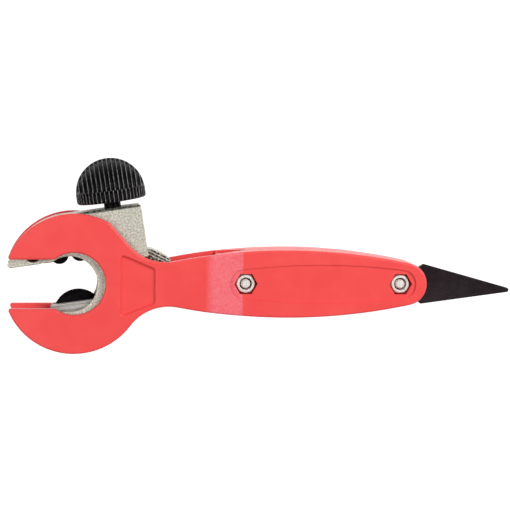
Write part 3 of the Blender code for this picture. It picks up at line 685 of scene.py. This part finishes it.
def upper_neck():
    """The neck's fillet above the axis: it leaves the lobe along a flat that clears the feed block."""
    normal = Vector((math.cos(math.radians(CHORD_ANGLE)), math.sin(math.radians(CHORD_ANGLE))))
    along = Vector((normal.y, -normal.x))
    base = normal * (CHORD_DISTANCE + NECK_FILLET)
    side_centre = Vector((SIDE_APEX_X, SIDE_HALF_WIDTH - SIDE_RADIUS))
    reach = SIDE_RADIUS + NECK_FILLET
    start = base - side_centre
    half = start.dot(along)
    centre = base + along * (-half - math.sqrt(half ** 2 - start.length_squared + reach ** 2))
    return arc(centre, NECK_FILLET, CHORD_ANGLE - 180.0, meet_angle(centre, side_centre))


def shell_outline():
    spread = math.degrees(math.acos(CHORD_DISTANCE / LOBE_RADIUS))
    upper_jaw = math.degrees(math.asin(MOUTH_TOP / LOBE_RADIUS))
    lower_jaw = math.degrees(math.asin(-MOUTH_BOTTOM / LOBE_RADIUS))
    lower_fillet = lower_neck()
    upper_fillet = upper_neck()
    lobe_join = meet_angle((0.0, 0.0), lower_fillet[-1])
    throat_top = math.degrees(math.asin(MOUTH_TOP / THROAT_RADIUS))
    throat_bottom = math.degrees(math.asin(-MOUTH_BOTTOM / THROAT_RADIUS))
    tangent_x = end_centre_x() + END_RADIUS * math.cos(math.radians(end_tangent_angle()))
    outline = [(JAW_TIP_X, MOUTH_TOP)]
    outline += arc((0.0, 0.0), LOBE_RADIUS, 180.0 - upper_jaw - 2.0, CHORD_ANGLE + spread)
    outline += upper_fillet
    outline += side_arc(upper_fillet[-1][0], tangent_x)[1:-1]
    outline += handle_end()
    outline += mirrored(side_arc(lower_fillet[0][0], tangent_x)[1:-1])
    outline += lower_fillet
    outline += arc((0.0, 0.0), LOBE_RADIUS, lobe_join, -180.0 + lower_jaw + 2.0)[1:]
    outline += [(JAW_TIP_X, MOUTH_BOTTOM)]
    outline += arc((0.0, 0.0), THROAT_RADIUS, -180.0 + throat_bottom, 180.0 - throat_top)
    return outline


def face_height(x):
    """The outer face's height: it runs down a straight ramp from the lobe to the thinner handle."""
    share = min(1.0, max(0.0, (x - RAMP_START_X) / (RAMP_END_X - RAMP_START_X)))
    return LOBE_FACE_Z + (HANDLE_FACE_Z - LOBE_FACE_Z) * share


def cavity_outline():
    start = [(CAVITY_START_X, -side_y(CAVITY_START_X, WALL)), (CAVITY_START_X, side_y(CAVITY_START_X, WALL))]
    tangent_x = end_centre_x() + (END_RADIUS - WALL) * math.cos(math.radians(end_tangent_angle()))
    sides = side_arc(CAVITY_START_X, tangent_x, WALL)[1:-1]
    return start + sides + handle_end(WALL) + mirrored(sides)


def blade_slot_outline():
    """Everything the reamer blade sweeps between open and folded, about the rear bolt."""
    hub = BLADE_HUB + 0.35
    reach = BLADE_LENGTH + 0.7
    local = [(-reach, -16.0), (12.0, -16.0), (12.0, 8.4), (10.4, 7.5), (8.5, 6.2)]
    local += arc((0.0, 0.0), hub, 86.0, 94.0, 4.0)
    local += [(-8.1, hub), (-10.3, BLADE_HALF_WIDTH + 0.35), (-BLADE_LENGTH, 1.3), (-reach, 0.0)]
    return [(REAR_BOLT_X + x, y) for x, y in local]


def neck_recess():
    """The four-sided recess in the lobe's face, narrowing towards the neck."""
    corners = [(17.2, 12.0), (17.2, -13.0), (30.9, -7.7), (30.9, 6.1)]
    return rounded(corners, NECK_RECESS_CORNER, 8)


def oval_recess():
    """A long oval whose round ends are concentric with the two bolts."""
    front_round = arc((FRONT_BOLT_X, 0.0), OVAL_FRONT_RADIUS, 240.0, 120.0, 5.0)
    rear_round = arc((REAR_BOLT_X, 0.0), OVAL_REAR_RADIUS, 60.0, -60.0, 5.0)
    first = front_round[-1]
    last = rear_round[0]
    xs = [first[0] + (last[0] - first[0]) * index / 24.0 for index in range(1, 24)]
    middle = 0.5 * (first[0] + last[0])
    half = 0.5 * (last[0] - first[0])
    upper = [(x, first[1] + (OVAL_HALF_WIDTH - first[1]) * (1.0 - ((x - middle) / half) ** 2)) for x in xs]
    return front_round + upper + rear_round + mirrored(upper)


def tapering_slit():
    """The gap between the shells closes up gradually along the handle's upper side."""
    shape = bmesh.new()
    profile = ((SLIT_START_X, -1.0), (SLIT_END_X, -1.0), (SLIT_END_X, 0.6), (SLIT_START_X, HEAD_GAP_Z))
    near = [shape.verts.new((x, SLIT_FLOOR_Y, z)) for x, z in profile]
    far = [shape.verts.new((x, 20.0, z)) for x, z in profile]
    shape.faces.new(near)
    shape.faces.new(list(reversed(far)))
    for index in range(4):
        following = (index + 1) % 4
        shape.faces.new((near[following], near[index], far[index], far[following]))
    return shape


def shell_blank():
    """The shell's solid outer form, with its ramp and its rounded rim."""
    shape = prism(shell_outline(), SPLIT_Z, LOBE_FACE_Z)
    for x in (RAMP_START_X, RAMP_END_X):
        everything = shape.verts[:] + shape.edges[:] + shape.faces[:]
        bmesh.ops.bisect_plane(shape, geom=everything, plane_co=(x, 0.0, 0.0), plane_no=(1.0, 0.0, 0.0))
    for vert in shape.verts:
        if vert.co.z > PLATE_INNER_Z:
            vert.co.z = face_height(vert.co.x)
    shape.normal_update()
    rim = []
    for item in shape.edges:
        heights = [face.normal.z for face in item.link_faces]
        if len(heights) == 2 and max(heights) > 0.9 and min(heights) < 0.3:
            rim.append(item)
    bmesh.ops.bevel(shape, geom=rim, offset=EDGE_ROUND, segments=6, affect="EDGES", profile=0.5,
                    clamp_overlap=True)
    return shape


def shell(name, side):
    """One shell, drawn on the +Z side and mirrored for the rear one."""
    guide = arc((0.0, 0.0), GUIDE_OUTER_RADIUS, -GUIDE_SPREAD, GUIDE_SPREAD)
    guide += arc((0.0, 0.0), GUIDE_INNER_RADIUS, GUIDE_SPREAD, -GUIDE_SPREAD)
    steps = [cut(prism(rectangle(-40.0, HEAD_GAP_END_X, -40.0, 40.0), -1.0, HEAD_GAP_Z)),
             cut(prism(cavity_outline(), -1.0, PLATE_INNER_Z))]
    for bolt_x, low in ((FRONT_BOLT_X, SPLIT_Z), (REAR_BOLT_X, BOSS_END_Z)):
        steps.append(join(prism(circle((bolt_x, 0.0), BOSS_RADIUS), low, PLATE_INNER_Z + OVERLAP)))
    steps.append(join(prism(guide, HEAD_GAP_Z - GUIDE_DEPTH, HEAD_GAP_Z + OVERLAP)))
    steps.append(join(prism(rectangle(*SPRING_SEAT), SPLIT_Z, HEAD_GAP_Z + OVERLAP)))
    steps.append(cut(prism(blade_slot_outline(), -1.0, BLADE_SLOT_Z)))
    steps.append(cut(tapering_slit()))
    oval_floor = HANDLE_FACE_Z - OVAL_RECESS_DEPTH
    neck_floor = LOBE_FACE_Z - NECK_RECESS_DEPTH
    steps.append(cut(dish(oval_recess(), oval_floor, HANDLE_FACE_Z, OVAL_RECESS_WALL)))
    steps.append(cut(dish(neck_recess(), neck_floor, LOBE_FACE_Z, NECK_RECESS_WALL)))
    steps.append(cut(prism(circle(PAWL_PIN, PAWL_PIN_RADIUS + GAP, 32), -1.0, 10.1)))
    for bolt_x in (FRONT_BOLT_X, REAR_BOLT_X):
        steps.append(cut(prism(circle((bolt_x, 0.0), BOLT_RADIUS + GAP, 40), -1.0, LOBE_FACE_Z + 2.0)))
        if side > 0:
            pocket = counterclockwise(hexagon((bolt_x, 0.0), NUT_POCKET_FLATS))
            floor = NUT_BOTTOM_Z - GAP
        else:
            pocket = circle((bolt_x, 0.0), HEAD_RADIUS + 0.5)
            floor = BOLT_HEAD_BASE_Z - GAP
        steps.append(cut(prism(pocket, floor, LOBE_FACE_Z + 2.0)))
    mesh = carve(shell_blank(), *steps)
    if side < 0:
        mesh.transform(Matrix.Scale(-1.0, 4, (0.0, 0.0, 1.0)))
        mesh.flip_normals()
    return piece(name + "_moulding", mesh, TOOL, "handle", RED, name, crease=28.0)


# ---- bolts and nuts

def threaded_end(radius, top, length):
    """The visible end of a threaded bolt: a chamfered tip, and thread ridges drawn as rings."""
    pitch = 0.7
    crest = radius - 0.02
    root = radius - 0.24
    profile = [(0.0, top), (radius - 0.5, top), (radius - 0.38, top - 0.08), (root, top - 0.35)]
    for index in range(int(length / pitch)):
        level = top - 0.4 - pitch * index
        profile += [(crest, level - 0.18), (crest, level - 0.3), (root, level - 0.62)]
    return profile


def fasteners():
    for name, bolt_x in (("front", FRONT_BOLT_X), ("rear", REAR_BOLT_X)):
        nut = soft_prism(hexagon((0.0, 0.0), NUT_FLATS), NUT_BOTTOM_Z, NUT_SHOULDER_Z, 0.1, 2)
        crown = NUT_FLATS / 2.0
        lens = turned([(0.0, NUT_TOP_Z), (crown, NUT_TOP_Z), (crown, NUT_SHOULDER_Z),
                       (crown + 1.0, NUT_SHOULDER_Z - 0.58), (crown + 1.0, NUT_BOTTOM_Z - 1.0),
                       (0.0, NUT_BOTTOM_Z - 1.0)])
        rim = arc((NUT_COLLAR - 0.45, NUT_TOP_Z - 0.45), 0.45, 90.0, 0.0, 15.0)
        foot = [(NUT_COLLAR, NUT_SHOULDER_Z - 0.5), (0.0, NUT_SHOULDER_Z - 0.5)]
        collar = turned([(0.0, NUT_TOP_Z)] + rim + foot)
        bore = turned([(0.0, NUT_TOP_Z + 1.0), (BOLT_RADIUS + 1.1, NUT_TOP_Z + 1.0),
                       (BOLT_RADIUS + 0.35, NUT_TOP_Z - 0.25), (BOLT_RADIUS + 0.35, NUT_BOTTOM_Z - 1.0),
                       (0.0, NUT_BOTTOM_Z - 1.0)])
        mesh = carve(nut, ("INTERSECT", lens), join(collar), cut(bore))
        mesh.transform(Matrix.Translation((bolt_x, 0.0, 0.0)))
        piece(name + "_hex_nut", mesh, TOOL, "handle", BRIGHT, name + "_nut")

        profile = threaded_end(BOLT_RADIUS - 0.25, BOLT_END_Z, 4.2)
        profile += [(BOLT_RADIUS - 0.05, 3.5), (BOLT_RADIUS - 0.05, -BOLT_HEAD_BASE_Z)]
        profile += [(HEAD_RADIUS, -BOLT_HEAD_BASE_Z), (HEAD_RADIUS, -BOLT_HEAD_TOP_Z + 1.0)]
        profile += arc((HEAD_RADIUS - 1.0, -BOLT_HEAD_TOP_Z + 1.0), 1.0, 0.0, -70.0, 14.0)
        profile += [(0.0, -BOLT_HEAD_TOP_Z)]
        cross = prism(rectangle(-0.5, 0.5, -2.2, 2.2), -BOLT_HEAD_TOP_Z - 1.0, -BOLT_HEAD_TOP_Z + 1.3)
        bar = prism(rectangle(-2.2, 2.2, -0.5, 0.5), -BOLT_HEAD_TOP_Z - 1.0, -BOLT_HEAD_TOP_Z + 1.3)
        mesh = carve(turned(profile), cut(cross), cut(bar))
        mesh.transform(Matrix.Translation((bolt_x, 0.0, 0.0)))
        piece(name + "_screw", mesh, TOOL, "handle", BRIGHT, name + "_bolt")


# ---- reamer

def blade_outline():
    tip_radius = 0.9
    side = [(8.03, BLADE_HUB), (10.09, BLADE_HALF_WIDTH)]
    tip = arc((BLADE_LENGTH - tip_radius, 0.0), tip_radius, 78.0, -78.0, 13.0)
    hub = arc((0.0, 0.0), BLADE_HUB, 270.0, 90.0, 5.0)
    return hub + side + tip + mirrored(side)


def reamer():
    pivot = Matrix.Translation((REAR_BOLT_X, 0.0, 0.0))
    turn = pivot @ Matrix.Rotation(math.radians(BLADE_REST_ANGLE), 4, "Z")
    blank = soft_prism(blade_outline(), -BLADE_HALF_THICKNESS, BLADE_HALF_THICKNESS, 0.28, 2)
    mesh = carve(blank, cut(rod(BOLT_RADIUS + GAP, (0.0, 0.0, -5.0), (0.0, 0.0, 5.0))))
    piece("reaming_blade", mesh, TOOL @ turn, "reamer", BLADE, "reamer_blade")
    for name, side in (("front", 1.0), ("rear", -1.0)):
        low, high = sorted((side * WASHER_Z[0], side * WASHER_Z[1]))
        inner = BOLT_RADIUS + GAP
        profile = [(WASHER_RADIUS - 0.15, high), (WASHER_RADIUS, high - 0.15), (WASHER_RADIUS, low + 0.15),
                   (WASHER_RADIUS - 0.15, low), (inner + 0.1, low), (inner, low + 0.1), (inner, high - 0.1),
                   (inner + 0.1, high)]
        mesh = mesh_from("washer", moved(turned(profile), REAR_BOLT_X))
        piece("washer_" + name, mesh, TOOL, "handle", BRIGHT, "reamer_washer_" + name)


# ---- ratchet pawl

def pawl_outline():
    tooth = [(31.0, -6.8), (27.7, -2.6), (26.25, -0.35), (28.2, 0.5), (30.2, 1.2)]
    tab = [(32.0, 2.2), (32.2, 6.2), (28.9, 7.9), (27.9, 9.6), (27.2, 12.7), (27.6, 13.0), (29.3, 13.0),
           (31.0, 12.3), (33.0, 11.4), (34.9, 10.3), (36.3, 9.3), (36.7, 8.6)]
    back = [(37.2, 6.2), (PAWL_BACK_X, 4.0), (PAWL_BACK_X, -5.8), (40.5, -6.8)]
    return tooth + tab + back


def pawl():
    radius = PAWL_PIN_RADIUS + GAP
    slot = arc((PAWL_PIN[0] + PAWL_TRAVEL + 0.1, PAWL_PIN[1]), radius, -90.0, 90.0, 6.0)
    slot += arc((PAWL_PIN[0] - 0.1, PAWL_PIN[1]), radius, 90.0, 270.0, 6.0)
    steps = [cut(prism(slot, -9.0, 9.0))]
    for drop in (1.15, 2.35):
        steps.append(cut(rod(0.32, (26.0, 14.6 - drop, PAWL_HALF_THICKNESS + 0.2),
                             (38.5, 8.6 - drop, PAWL_HALF_THICKNESS + 0.2), 16)))
    mesh = carve(soft_prism(pawl_outline(), -PAWL_HALF_THICKNESS, PAWL_HALF_THICKNESS, 0.3, 3), *steps)
    piece("pawl_casting", mesh, TOOL, "pawl", CAST, "ratchet_pawl")


# ---- cutter head

def throat_angle(v):
    return math.degrees(math.asin(v / HEAD_THROAT_RADIUS))


def head_outline(toothed):
    """C outline: rim, feed block, throat and both jaws, drawn clockwise from the upper jaw's tip."""
    block_angle = math.degrees(math.asin(BLOCK_BOTTOM_V / RIM_RADIUS))
    outline = [(-22.9, UPPER_JAW_V), (-23.8, 9.9)]
    if toothed:
        outline += arc((0.0, 0.0), RIM_RADIUS, 155.0, 90.0)
        outline += arc((BLOCK_RIGHT_U - 1.2, RIM_RADIUS - 1.2), 1.2, 90.0, 0.0, 15.0)
    else:
        top = RIM_RADIUS - COVER_STEP
        outline += arc((0.0, 0.0), RIM_RADIUS, 155.0, 79.0)
        outline += [(u, top + 0.07 * math.sin(2.9 * u) * math.sin(1.3 * u)) for u in range(6, 28)]
        outline += arc((BLOCK_RIGHT_U - 1.2, top - 1.2), 1.2, 90.0, 0.0, 15.0)
    outline += [(BLOCK_RIGHT_U, BLOCK_BOTTOM_V)]
    outline += [(RIM_RADIUS * math.cos(math.radians(block_angle)), BLOCK_BOTTOM_V)]
    if toothed:
        for index in range(TOOTH_COUNT):
            angle = TOOTH_START - index * TOOTH_PITCH
            outline += arc((0.0, 0.0), RIM_RADIUS, angle, angle)[:1]
            outline += arc((0.0, 0.0), TOOTH_ROOT_RADIUS, angle, angle)[:1]
    else:
        outline += arc((0.0, 0.0), RIM_RADIUS, TOOTH_START, -125.0)
    outline += [(-17.2, -19.0), (-17.0, LOWER_JAW_V)]
    outline += arc((HEAD_THROAT_U, 0.0), HEAD_THROAT_RADIUS, -180.0 - throat_angle(LOWER_JAW_V),
                   180.0 - throat_angle(UPPER_JAW_V))
    return outline


def carriage_space():
    low = TRAVEL_OPEN + 0.5
    high = TRAVEL_CLOSE + 0.5
    return [(-10.5, -16.6 - low), (8.7, -16.6 - low), (14.3, -14.1 - low), (22.55, -5.1 - low),
            (22.55, 3.0 + high), (14.6, 3.0 + high), (14.6, CARRIAGE_TOP_V + high + 1.0),
            (7.0, CARRIAGE_TOP_V + high), (-10.5, CARRIAGE_TOP_V + 2.0)]


def guide_groove(low, high):
    inner = GUIDE_INNER_RADIUS - GAP
    outer = GUIDE_OUTER_RADIUS + GAP
    return turned([(inner, high), (outer, high), (outer, low), (inner, low)], 96)


def head_casting():
    top = COVER_JOINT_Z + 3.0
    steps = [cut(prism(carriage_space(), -CAVITY_Z, top)),
             cut(prism(rectangle(*TAB_POCKET), -PAWL_HALF_THICKNESS - GAP, top))]
    for side in (-1.0, 1.0):
        centre = (side * ROLLER_U, ROLLER_V)
        steps.append(cut(prism(circle(centre, ROLLER_RADIUS + 0.4, 56), -CAVITY_Z, top)))
        steps.append(cut(rod(ROLLER_PIN_RADIUS + GAP, (*centre, -6.3), (*centre, 9.0))))
    steps.append(cut(prism(rectangle(-ROLLER_U, ROLLER_U, 7.0, 12.5), -CAVITY_Z, top)))
    steps.append(cut(prism(rectangle(-10.6, 10.6, -30.0, -15.0), -WHEEL_SLOT_Z, WHEEL_SLOT_Z)))
    steps.append(cut(rod(FEED_RADIUS + GAP, (SCREW_U, 11.0, 0.0), (SCREW_U, 30.0, 0.0))))
    steps.append(cut(rod(STEM_RADIUS + GAP, (SCREW_U, 22.0, 0.0), (SCREW_U, 30.0, 0.0))))
    steps.append(cut(prism(rectangle(SCREW_U - 4.9, SCREW_U + 4.9, 20.2, 24.6), -4.9, top)))
    steps.append(cut(guide_groove(-HEAD_HALF_THICKNESS - 1.0, -HEAD_HALF_THICKNESS + 1.3)))
    for u, v in COVER_SCREWS:
        steps.append(cut(rod(SCREW_SHANK + GAP, (u, v, -4.5), (u, v, 9.0))))
    steps.append(cut(rod(DOWEL_RADIUS + GAP, (*COVER_DOWEL, -1.0), (*COVER_DOWEL, 9.0))))
    mesh = carve(soft_prism(head_outline(True), -HEAD_HALF_THICKNESS, COVER_JOINT_Z, 0.3, 3), *steps)
    piece("head_body", mesh, HEAD, "head", CAST, "head_casting")


def head_cover():
    steps = [cut(guide_groove(HEAD_HALF_THICKNESS - 1.3, HEAD_HALF_THICKNESS + 1.0))]
    for side in (-1.0, 1.0):
        centre = (side * ROLLER_U, ROLLER_V)
        steps.append(cut(rod(ROLLER_PIN_RADIUS + GAP, (*centre, 4.0), (*centre, 6.3))))
    for u, v in COVER_SCREWS:
        steps.append(cut(rod(SCREW_SHANK + GAP, (u, v, 4.0), (u, v, 9.0))))
        steps.append(cut(rod(SCREW_HEAD + GAP, (u, v, 6.0), (u, v, 9.0))))
    steps.append(cut(rod(DOWEL_RADIUS + GAP, (*COVER_DOWEL, 4.0), (*COVER_DOWEL, 7.0))))
    mesh = carve(soft_prism(head_outline(False), COVER_BASE_Z, HEAD_HALF_THICKNESS, 0.4, 3), *steps)
    piece("head_plate", mesh, HEAD, "head", CAST, "head_cover")


def cover_screws():
    for index, (u, v) in enumerate(COVER_SCREWS):
        profile = [(0.0, 7.8), (2.7, 7.8), (3.1, 7.7), (SCREW_HEAD, 7.4), (SCREW_HEAD, 6.3),
                   (SCREW_SHANK, 6.3)]
        for turn in range(12):
            level = 5.4 - 0.7 * turn
            profile += [(1.38, level), (1.58, level - 0.3), (1.58, level - 0.4), (1.38, level - 0.65)]
        profile += [(1.1, -3.8), (0.0, -4.0)]
        bar = prism(rectangle(-1.9, 1.9, -0.42, 0.42), 6.7, 9.0)
        cross = prism(rectangle(-0.42, 0.42, -1.9, 1.9), 6.7, 9.0)
        mesh = carve(turned(profile, 48), cut(bar), cut(cross))
        mesh.transform(Matrix.Translation((u, v, 0.0)))
        number = index + 1
        piece(f"plate_screw_{number}", mesh, HEAD, "head", BLACK, f"cover_screw_{number}")


def rollers():
    for name, side in (("left", -1.0), ("right", 1.0)):
        half = ROLLER_HALF_LENGTH
        bore = ROLLER_PIN_RADIUS + GAP
        outer = arc((ROLLER_RADIUS - 0.5, half - 0.5), 0.5, 90.0, 0.0, 15.0)
        under = [(radius, -height) for radius, height in reversed(outer)]
        inside = [(bore + 0.3, -half), (bore, -half + 0.3), (bore, half - 0.3), (bore + 0.3, half)]
        profile = outer + under + inside
        mesh = mesh_from("roller", moved(turned(profile), side * ROLLER_U, ROLLER_V))
        piece(f"{name}_guide_roller", mesh, HEAD, f"{name}_roller", BLACK, "roller_" + name)


# ---- carriage, wheel and feed

def carriage_outline():
    points = [(-10.1, -8.0), (-9.5, CARRIAGE_TOP_V), (13.6, CARRIAGE_TOP_V), (15.0, -6.0), (15.0, 3.0),
              (22.2, 3.0), (22.2, -5.0), (14.0, -14.0), (8.5, -16.6), (-8.6, -16.6), (-10.1, -15.4)]
    return rounded(points, 0.4, 3)


def carriage():
    steps = [cut(prism(rectangle(-10.6, 10.6, -30.0, 0.0), -WHEEL_SLOT_Z, WHEEL_SLOT_Z)),
             cut(rod(FEED_RADIUS + GAP, (SCREW_U, -20.0, 0.0), (SCREW_U, 20.0, 0.0))),
             cut(rod(AXLE_RADIUS + GAP, (0.0, WHEEL_V, -9.0), (0.0, WHEEL_V, 9.0)))]
    for level in (CARRIAGE_TOP_V - 0.85, CARRIAGE_TOP_V - 2.7):
        for side in (-1.0, 1.0):
            groove = rectangle(-11.0, 13.0, level - 0.3, level + 0.3)
            bottom = side * (CARRIAGE_HALF_THICKNESS - 0.9)
            outside = side * (CARRIAGE_HALF_THICKNESS + 2.0)
            steps.append(cut(prism(groove, min(bottom, outside), max(bottom, outside))))
    blank = soft_prism(carriage_outline(), -CARRIAGE_HALF_THICKNESS, CARRIAGE_HALF_THICKNESS, 0.45, 3)
    piece("wheel_carriage", carve(blank, *steps), HEAD, "carriage", DULL, "cutter_carriage")


def wheel():
    half = WHEEL_HALF_THICKNESS
    upper = [(1.9, half), (3.7, half), (4.0, half - 0.15), (4.15, 1.05), (4.4, 0.9), (7.4, 0.85),
             (8.1, 0.62), (9.2, 0.16), (WHEEL_RADIUS, 0.02)]
    profile = upper + [(radius, -height) for radius, height in reversed(upper)]
    mesh = mesh_from("wheel", moved(turned(profile, 96), 0.0, WHEEL_V))
    piece("cutting_wheel", mesh, HEAD, "wheel", BLACK, "cutter_wheel")


def feed_screw():
    profile = [(0.0, 36.0), (2.4, 36.0), (2.6, 35.8), (2.6, 28.0), (STEM_RADIUS - 0.15, 28.0),
               (STEM_RADIUS, 27.85), (STEM_RADIUS, 22.6), (4.45, 22.6), (4.6, 22.45), (4.6, 20.75),
               (4.45, 20.6), (FEED_RADIUS, 20.6)]
    crest = FEED_RADIUS - 0.03
    level = 20.0
    while level > -7.6:
        profile += [(FEED_RADIUS - 0.5, level), (crest, level - 0.4), (crest, level - 0.6)]
        level -= 1.0
    profile += [(2.3, -8.2), (2.0, -8.6), (0.0, -8.6)]
    mesh = mesh_from("screw", stand_up(turned(profile, 48), (SCREW_U, 0.0, 0.0)))
    piece("feed_spindle", mesh, HEAD, "feed", BLACK, "feed_screw")


def smooth_step(value, low, high):
    share = min(1.0, max(0.0, (value - low) / (high - low)))
    return share * share * (3.0 - 2.0 * share)


def scoop(position, land):
    """Depth from 0 to 1 of a round-bottomed flute; position counts flutes, and land is the ridge's share."""
    offset_from_middle = abs(position - math.floor(position) - 0.5) / (0.5 - 0.5 * land)
    return math.sqrt(max(0.0, 1.0 - offset_from_middle ** 2))


def knob_point(radius, v, angle):
    """One point of the fluted knob: upright flutes round the band, parallel ones over the dome."""
    u = radius * math.cos(angle)
    w = radius * math.sin(angle)
    if v < KNOB_BAND_V:
        ends = smooth_step(v, KNOB_BOTTOM_V + 0.35, KNOB_BOTTOM_V + 1.3)
        ends *= smooth_step(KNOB_BAND_V - v, 0.35, 0.95)
        depth = FLUTE_DEPTH * ends * scoop(angle * BAND_FLUTES / (2.0 * math.pi), 0.2)
        shrink = (radius - depth) / radius if radius > KNOB_RADIUS - 2.5 else 1.0
        return (u * shrink, v, w * shrink)
    ends = smooth_step(v, KNOB_BAND_V + 0.15, KNOB_BAND_V + 0.8) * smooth_step(abs(w), 0.9, 2.6)
    depth = FLUTE_DEPTH * ends * scoop(u / DOME_FLUTE_PITCH, 0.18)
    out = Vector((u, v - DOME_CENTRE_V, w)).normalized()
    return (u - out.x * depth, v - out.y * depth, w - out.z * depth)


def feed_knob():
    around = 600
    dome_height = KNOB_TOP_V - DOME_CENTRE_V
    dome_radius = KNOB_RADIUS - 0.1
    limit = math.degrees(math.acos((KNOB_BAND_V - DOME_CENTRE_V) / dome_height))
    profile = []
    for index in range(1, 61):
        angle = math.radians(limit * index / 60.0)
        profile.append((dome_radius * math.sin(angle), DOME_CENTRE_V + dome_height * math.cos(angle)))
    profile += [(KNOB_RADIUS - 0.18, KNOB_BAND_V), (KNOB_RADIUS - 0.05, KNOB_BAND_V - 0.08)]
    rows = 18
    band_top = KNOB_BAND_V - 0.2
    band_foot = KNOB_BOTTOM_V + 1.05
    for index in range(1, rows + 1):
        profile.append((KNOB_RADIUS, band_top - (band_top - band_foot) * index / rows))
    profile += arc((KNOB_RADIUS - 1.05, KNOB_BOTTOM_V + 1.05), 1.05, 0.0, -90.0, 15.0)
    profile += [(8.0, KNOB_BOTTOM_V), (7.4, KNOB_BOTTOM_V + 0.25), (4.6, KNOB_BOTTOM_V + 0.25),
                (4.2, KNOB_BOTTOM_V), (KNOB_BORE, KNOB_BOTTOM_V), (KNOB_BORE, KNOB_BORE_END_V)]
    shape = bmesh.new()
    pole = shape.verts.new((0.0, KNOB_TOP_V, 0.0))
    rings = []
    for radius, v in profile:
        rings.append([shape.verts.new(knob_point(radius, v, 2.0 * math.pi * index / around))
                      for index in range(around)])
    inner = shape.verts.new((0.0, KNOB_BORE_END_V, 0.0))
    for index in range(around):
        following = (index + 1) % around
        shape.faces.new((pole, rings[0][index], rings[0][following]))
        shape.faces.new((inner, rings[-1][following], rings[-1][index]))
        for upper, lower in zip(rings, rings[1:]):
            shape.faces.new((upper[index], lower[index], lower[following], upper[following]))
    mesh = mesh_from("knob", moved(shape, SCREW_U))
    piece("ribbed_knob", mesh, HEAD, "feed", PLASTIC, "feed_knob", crease=50.0)


# ---- CAD nodes that keep their shape

def dress_cad_nodes():
    """Pins, washer and spring keep the CAD's own shape, with the fine materials."""
    for name in ("pawl_guide_pin", "pawl_spring", "roller_pin_left", "roller_pin_right", "wheel_axle",
                 "cover_dowel", "thrust_washer"):
        node = frame["nodes"][name]
        node.data.materials.clear()
        node.data.materials.append(BRIGHT)


# ---- floor, light and camera

def floor():
    shape = bmesh.new()
    bmesh.ops.create_grid(shape, x_segments=8, y_segments=8, size=2.5)
    mesh = bpy.data.meshes.new("floor")
    shape.to_mesh(mesh)
    shape.free()
    obj = add_object("floor", mesh)
    obj.location.z = -0.0004
    kit = Nodes("floor_white", 0.9, specular=0.0)
    kit.colour(kit.ramp(kit.noise(60.0, 2.0), 0.3, 0.7, (0.28, 0.28, 0.28), (0.30, 0.30, 0.30)))
    kit.shader.inputs["Emission Color"].default_value = (1.0, 1.0, 1.0, 1.0)
    kit.shader.inputs["Emission Strength"].default_value = 0.95
    mesh.materials.append(kit.material)


def soft_light(name, at, aim, size, power):
    lamp = bpy.data.lights.new(name, "AREA")
    lamp.shape = "RECTANGLE"
    lamp.size, lamp.size_y = size
    lamp.energy = power
    obj = add_object(name, lamp)
    obj.location = at
    obj.rotation_mode = "QUATERNION"
    obj.rotation_quaternion = (Vector(aim) - Vector(at)).to_track_quat("-Z", "Y")


def lights():
    world = bpy.data.worlds.new("studio")
    bpy.context.scene.world = world
    world.use_nodes = True
    world.node_tree.nodes["Background"].inputs["Color"].default_value = (1.0, 1.0, 1.0, 1.0)
    world.node_tree.nodes["Background"].inputs["Strength"].default_value = 0.2
    soft_light("key", (0.62, 0.42, 0.80), (0.0, 0.0, 0.0), (0.6, 0.8), 11.5)
    soft_light("fill", (-0.62, -0.05, 0.85), (0.0, 0.0, 0.0), (0.5, 0.9), 5.0)
    bpy.context.scene.view_settings.view_transform = "Standard"


def camera():
    """Faces the front shell from 65 cm, standing a little towards the head and the knob."""
    lens = bpy.data.cameras.new("camera")
    lens.sensor_width = 36.0
    lens.lens = 121.8
    lens.clip_start = 0.05
    obj = add_object("camera", lens)
    place = Vector((-1.507, 70.326, 660.2))
    target = Vector((68.35, 11.34, 11.09))
    roll = 0.0132
    forward = (target - place).normalized()
    right = forward.cross(Vector((0.0, 1.0, 0.0))).normalized()
    up = right.cross(forward)
    turned_right = right * math.cos(roll) + up * math.sin(roll)
    turned_up = up * math.cos(roll) - right * math.sin(roll)
    rotation = Matrix((turned_right, turned_up, -forward)).transposed().to_4x4()
    obj.matrix_world = Matrix.Translation(TOOL @ place) @ rotation
    bpy.context.scene.camera = obj


camera()
lights()
floor()
shell("front_shell", 1)
shell("rear_shell", -1)
fasteners()
reamer()
pawl()
head_casting()
head_cover()
cover_screws()
rollers()
carriage()
wheel()
feed_screw()
feed_knob()
dress_cad_nodes()
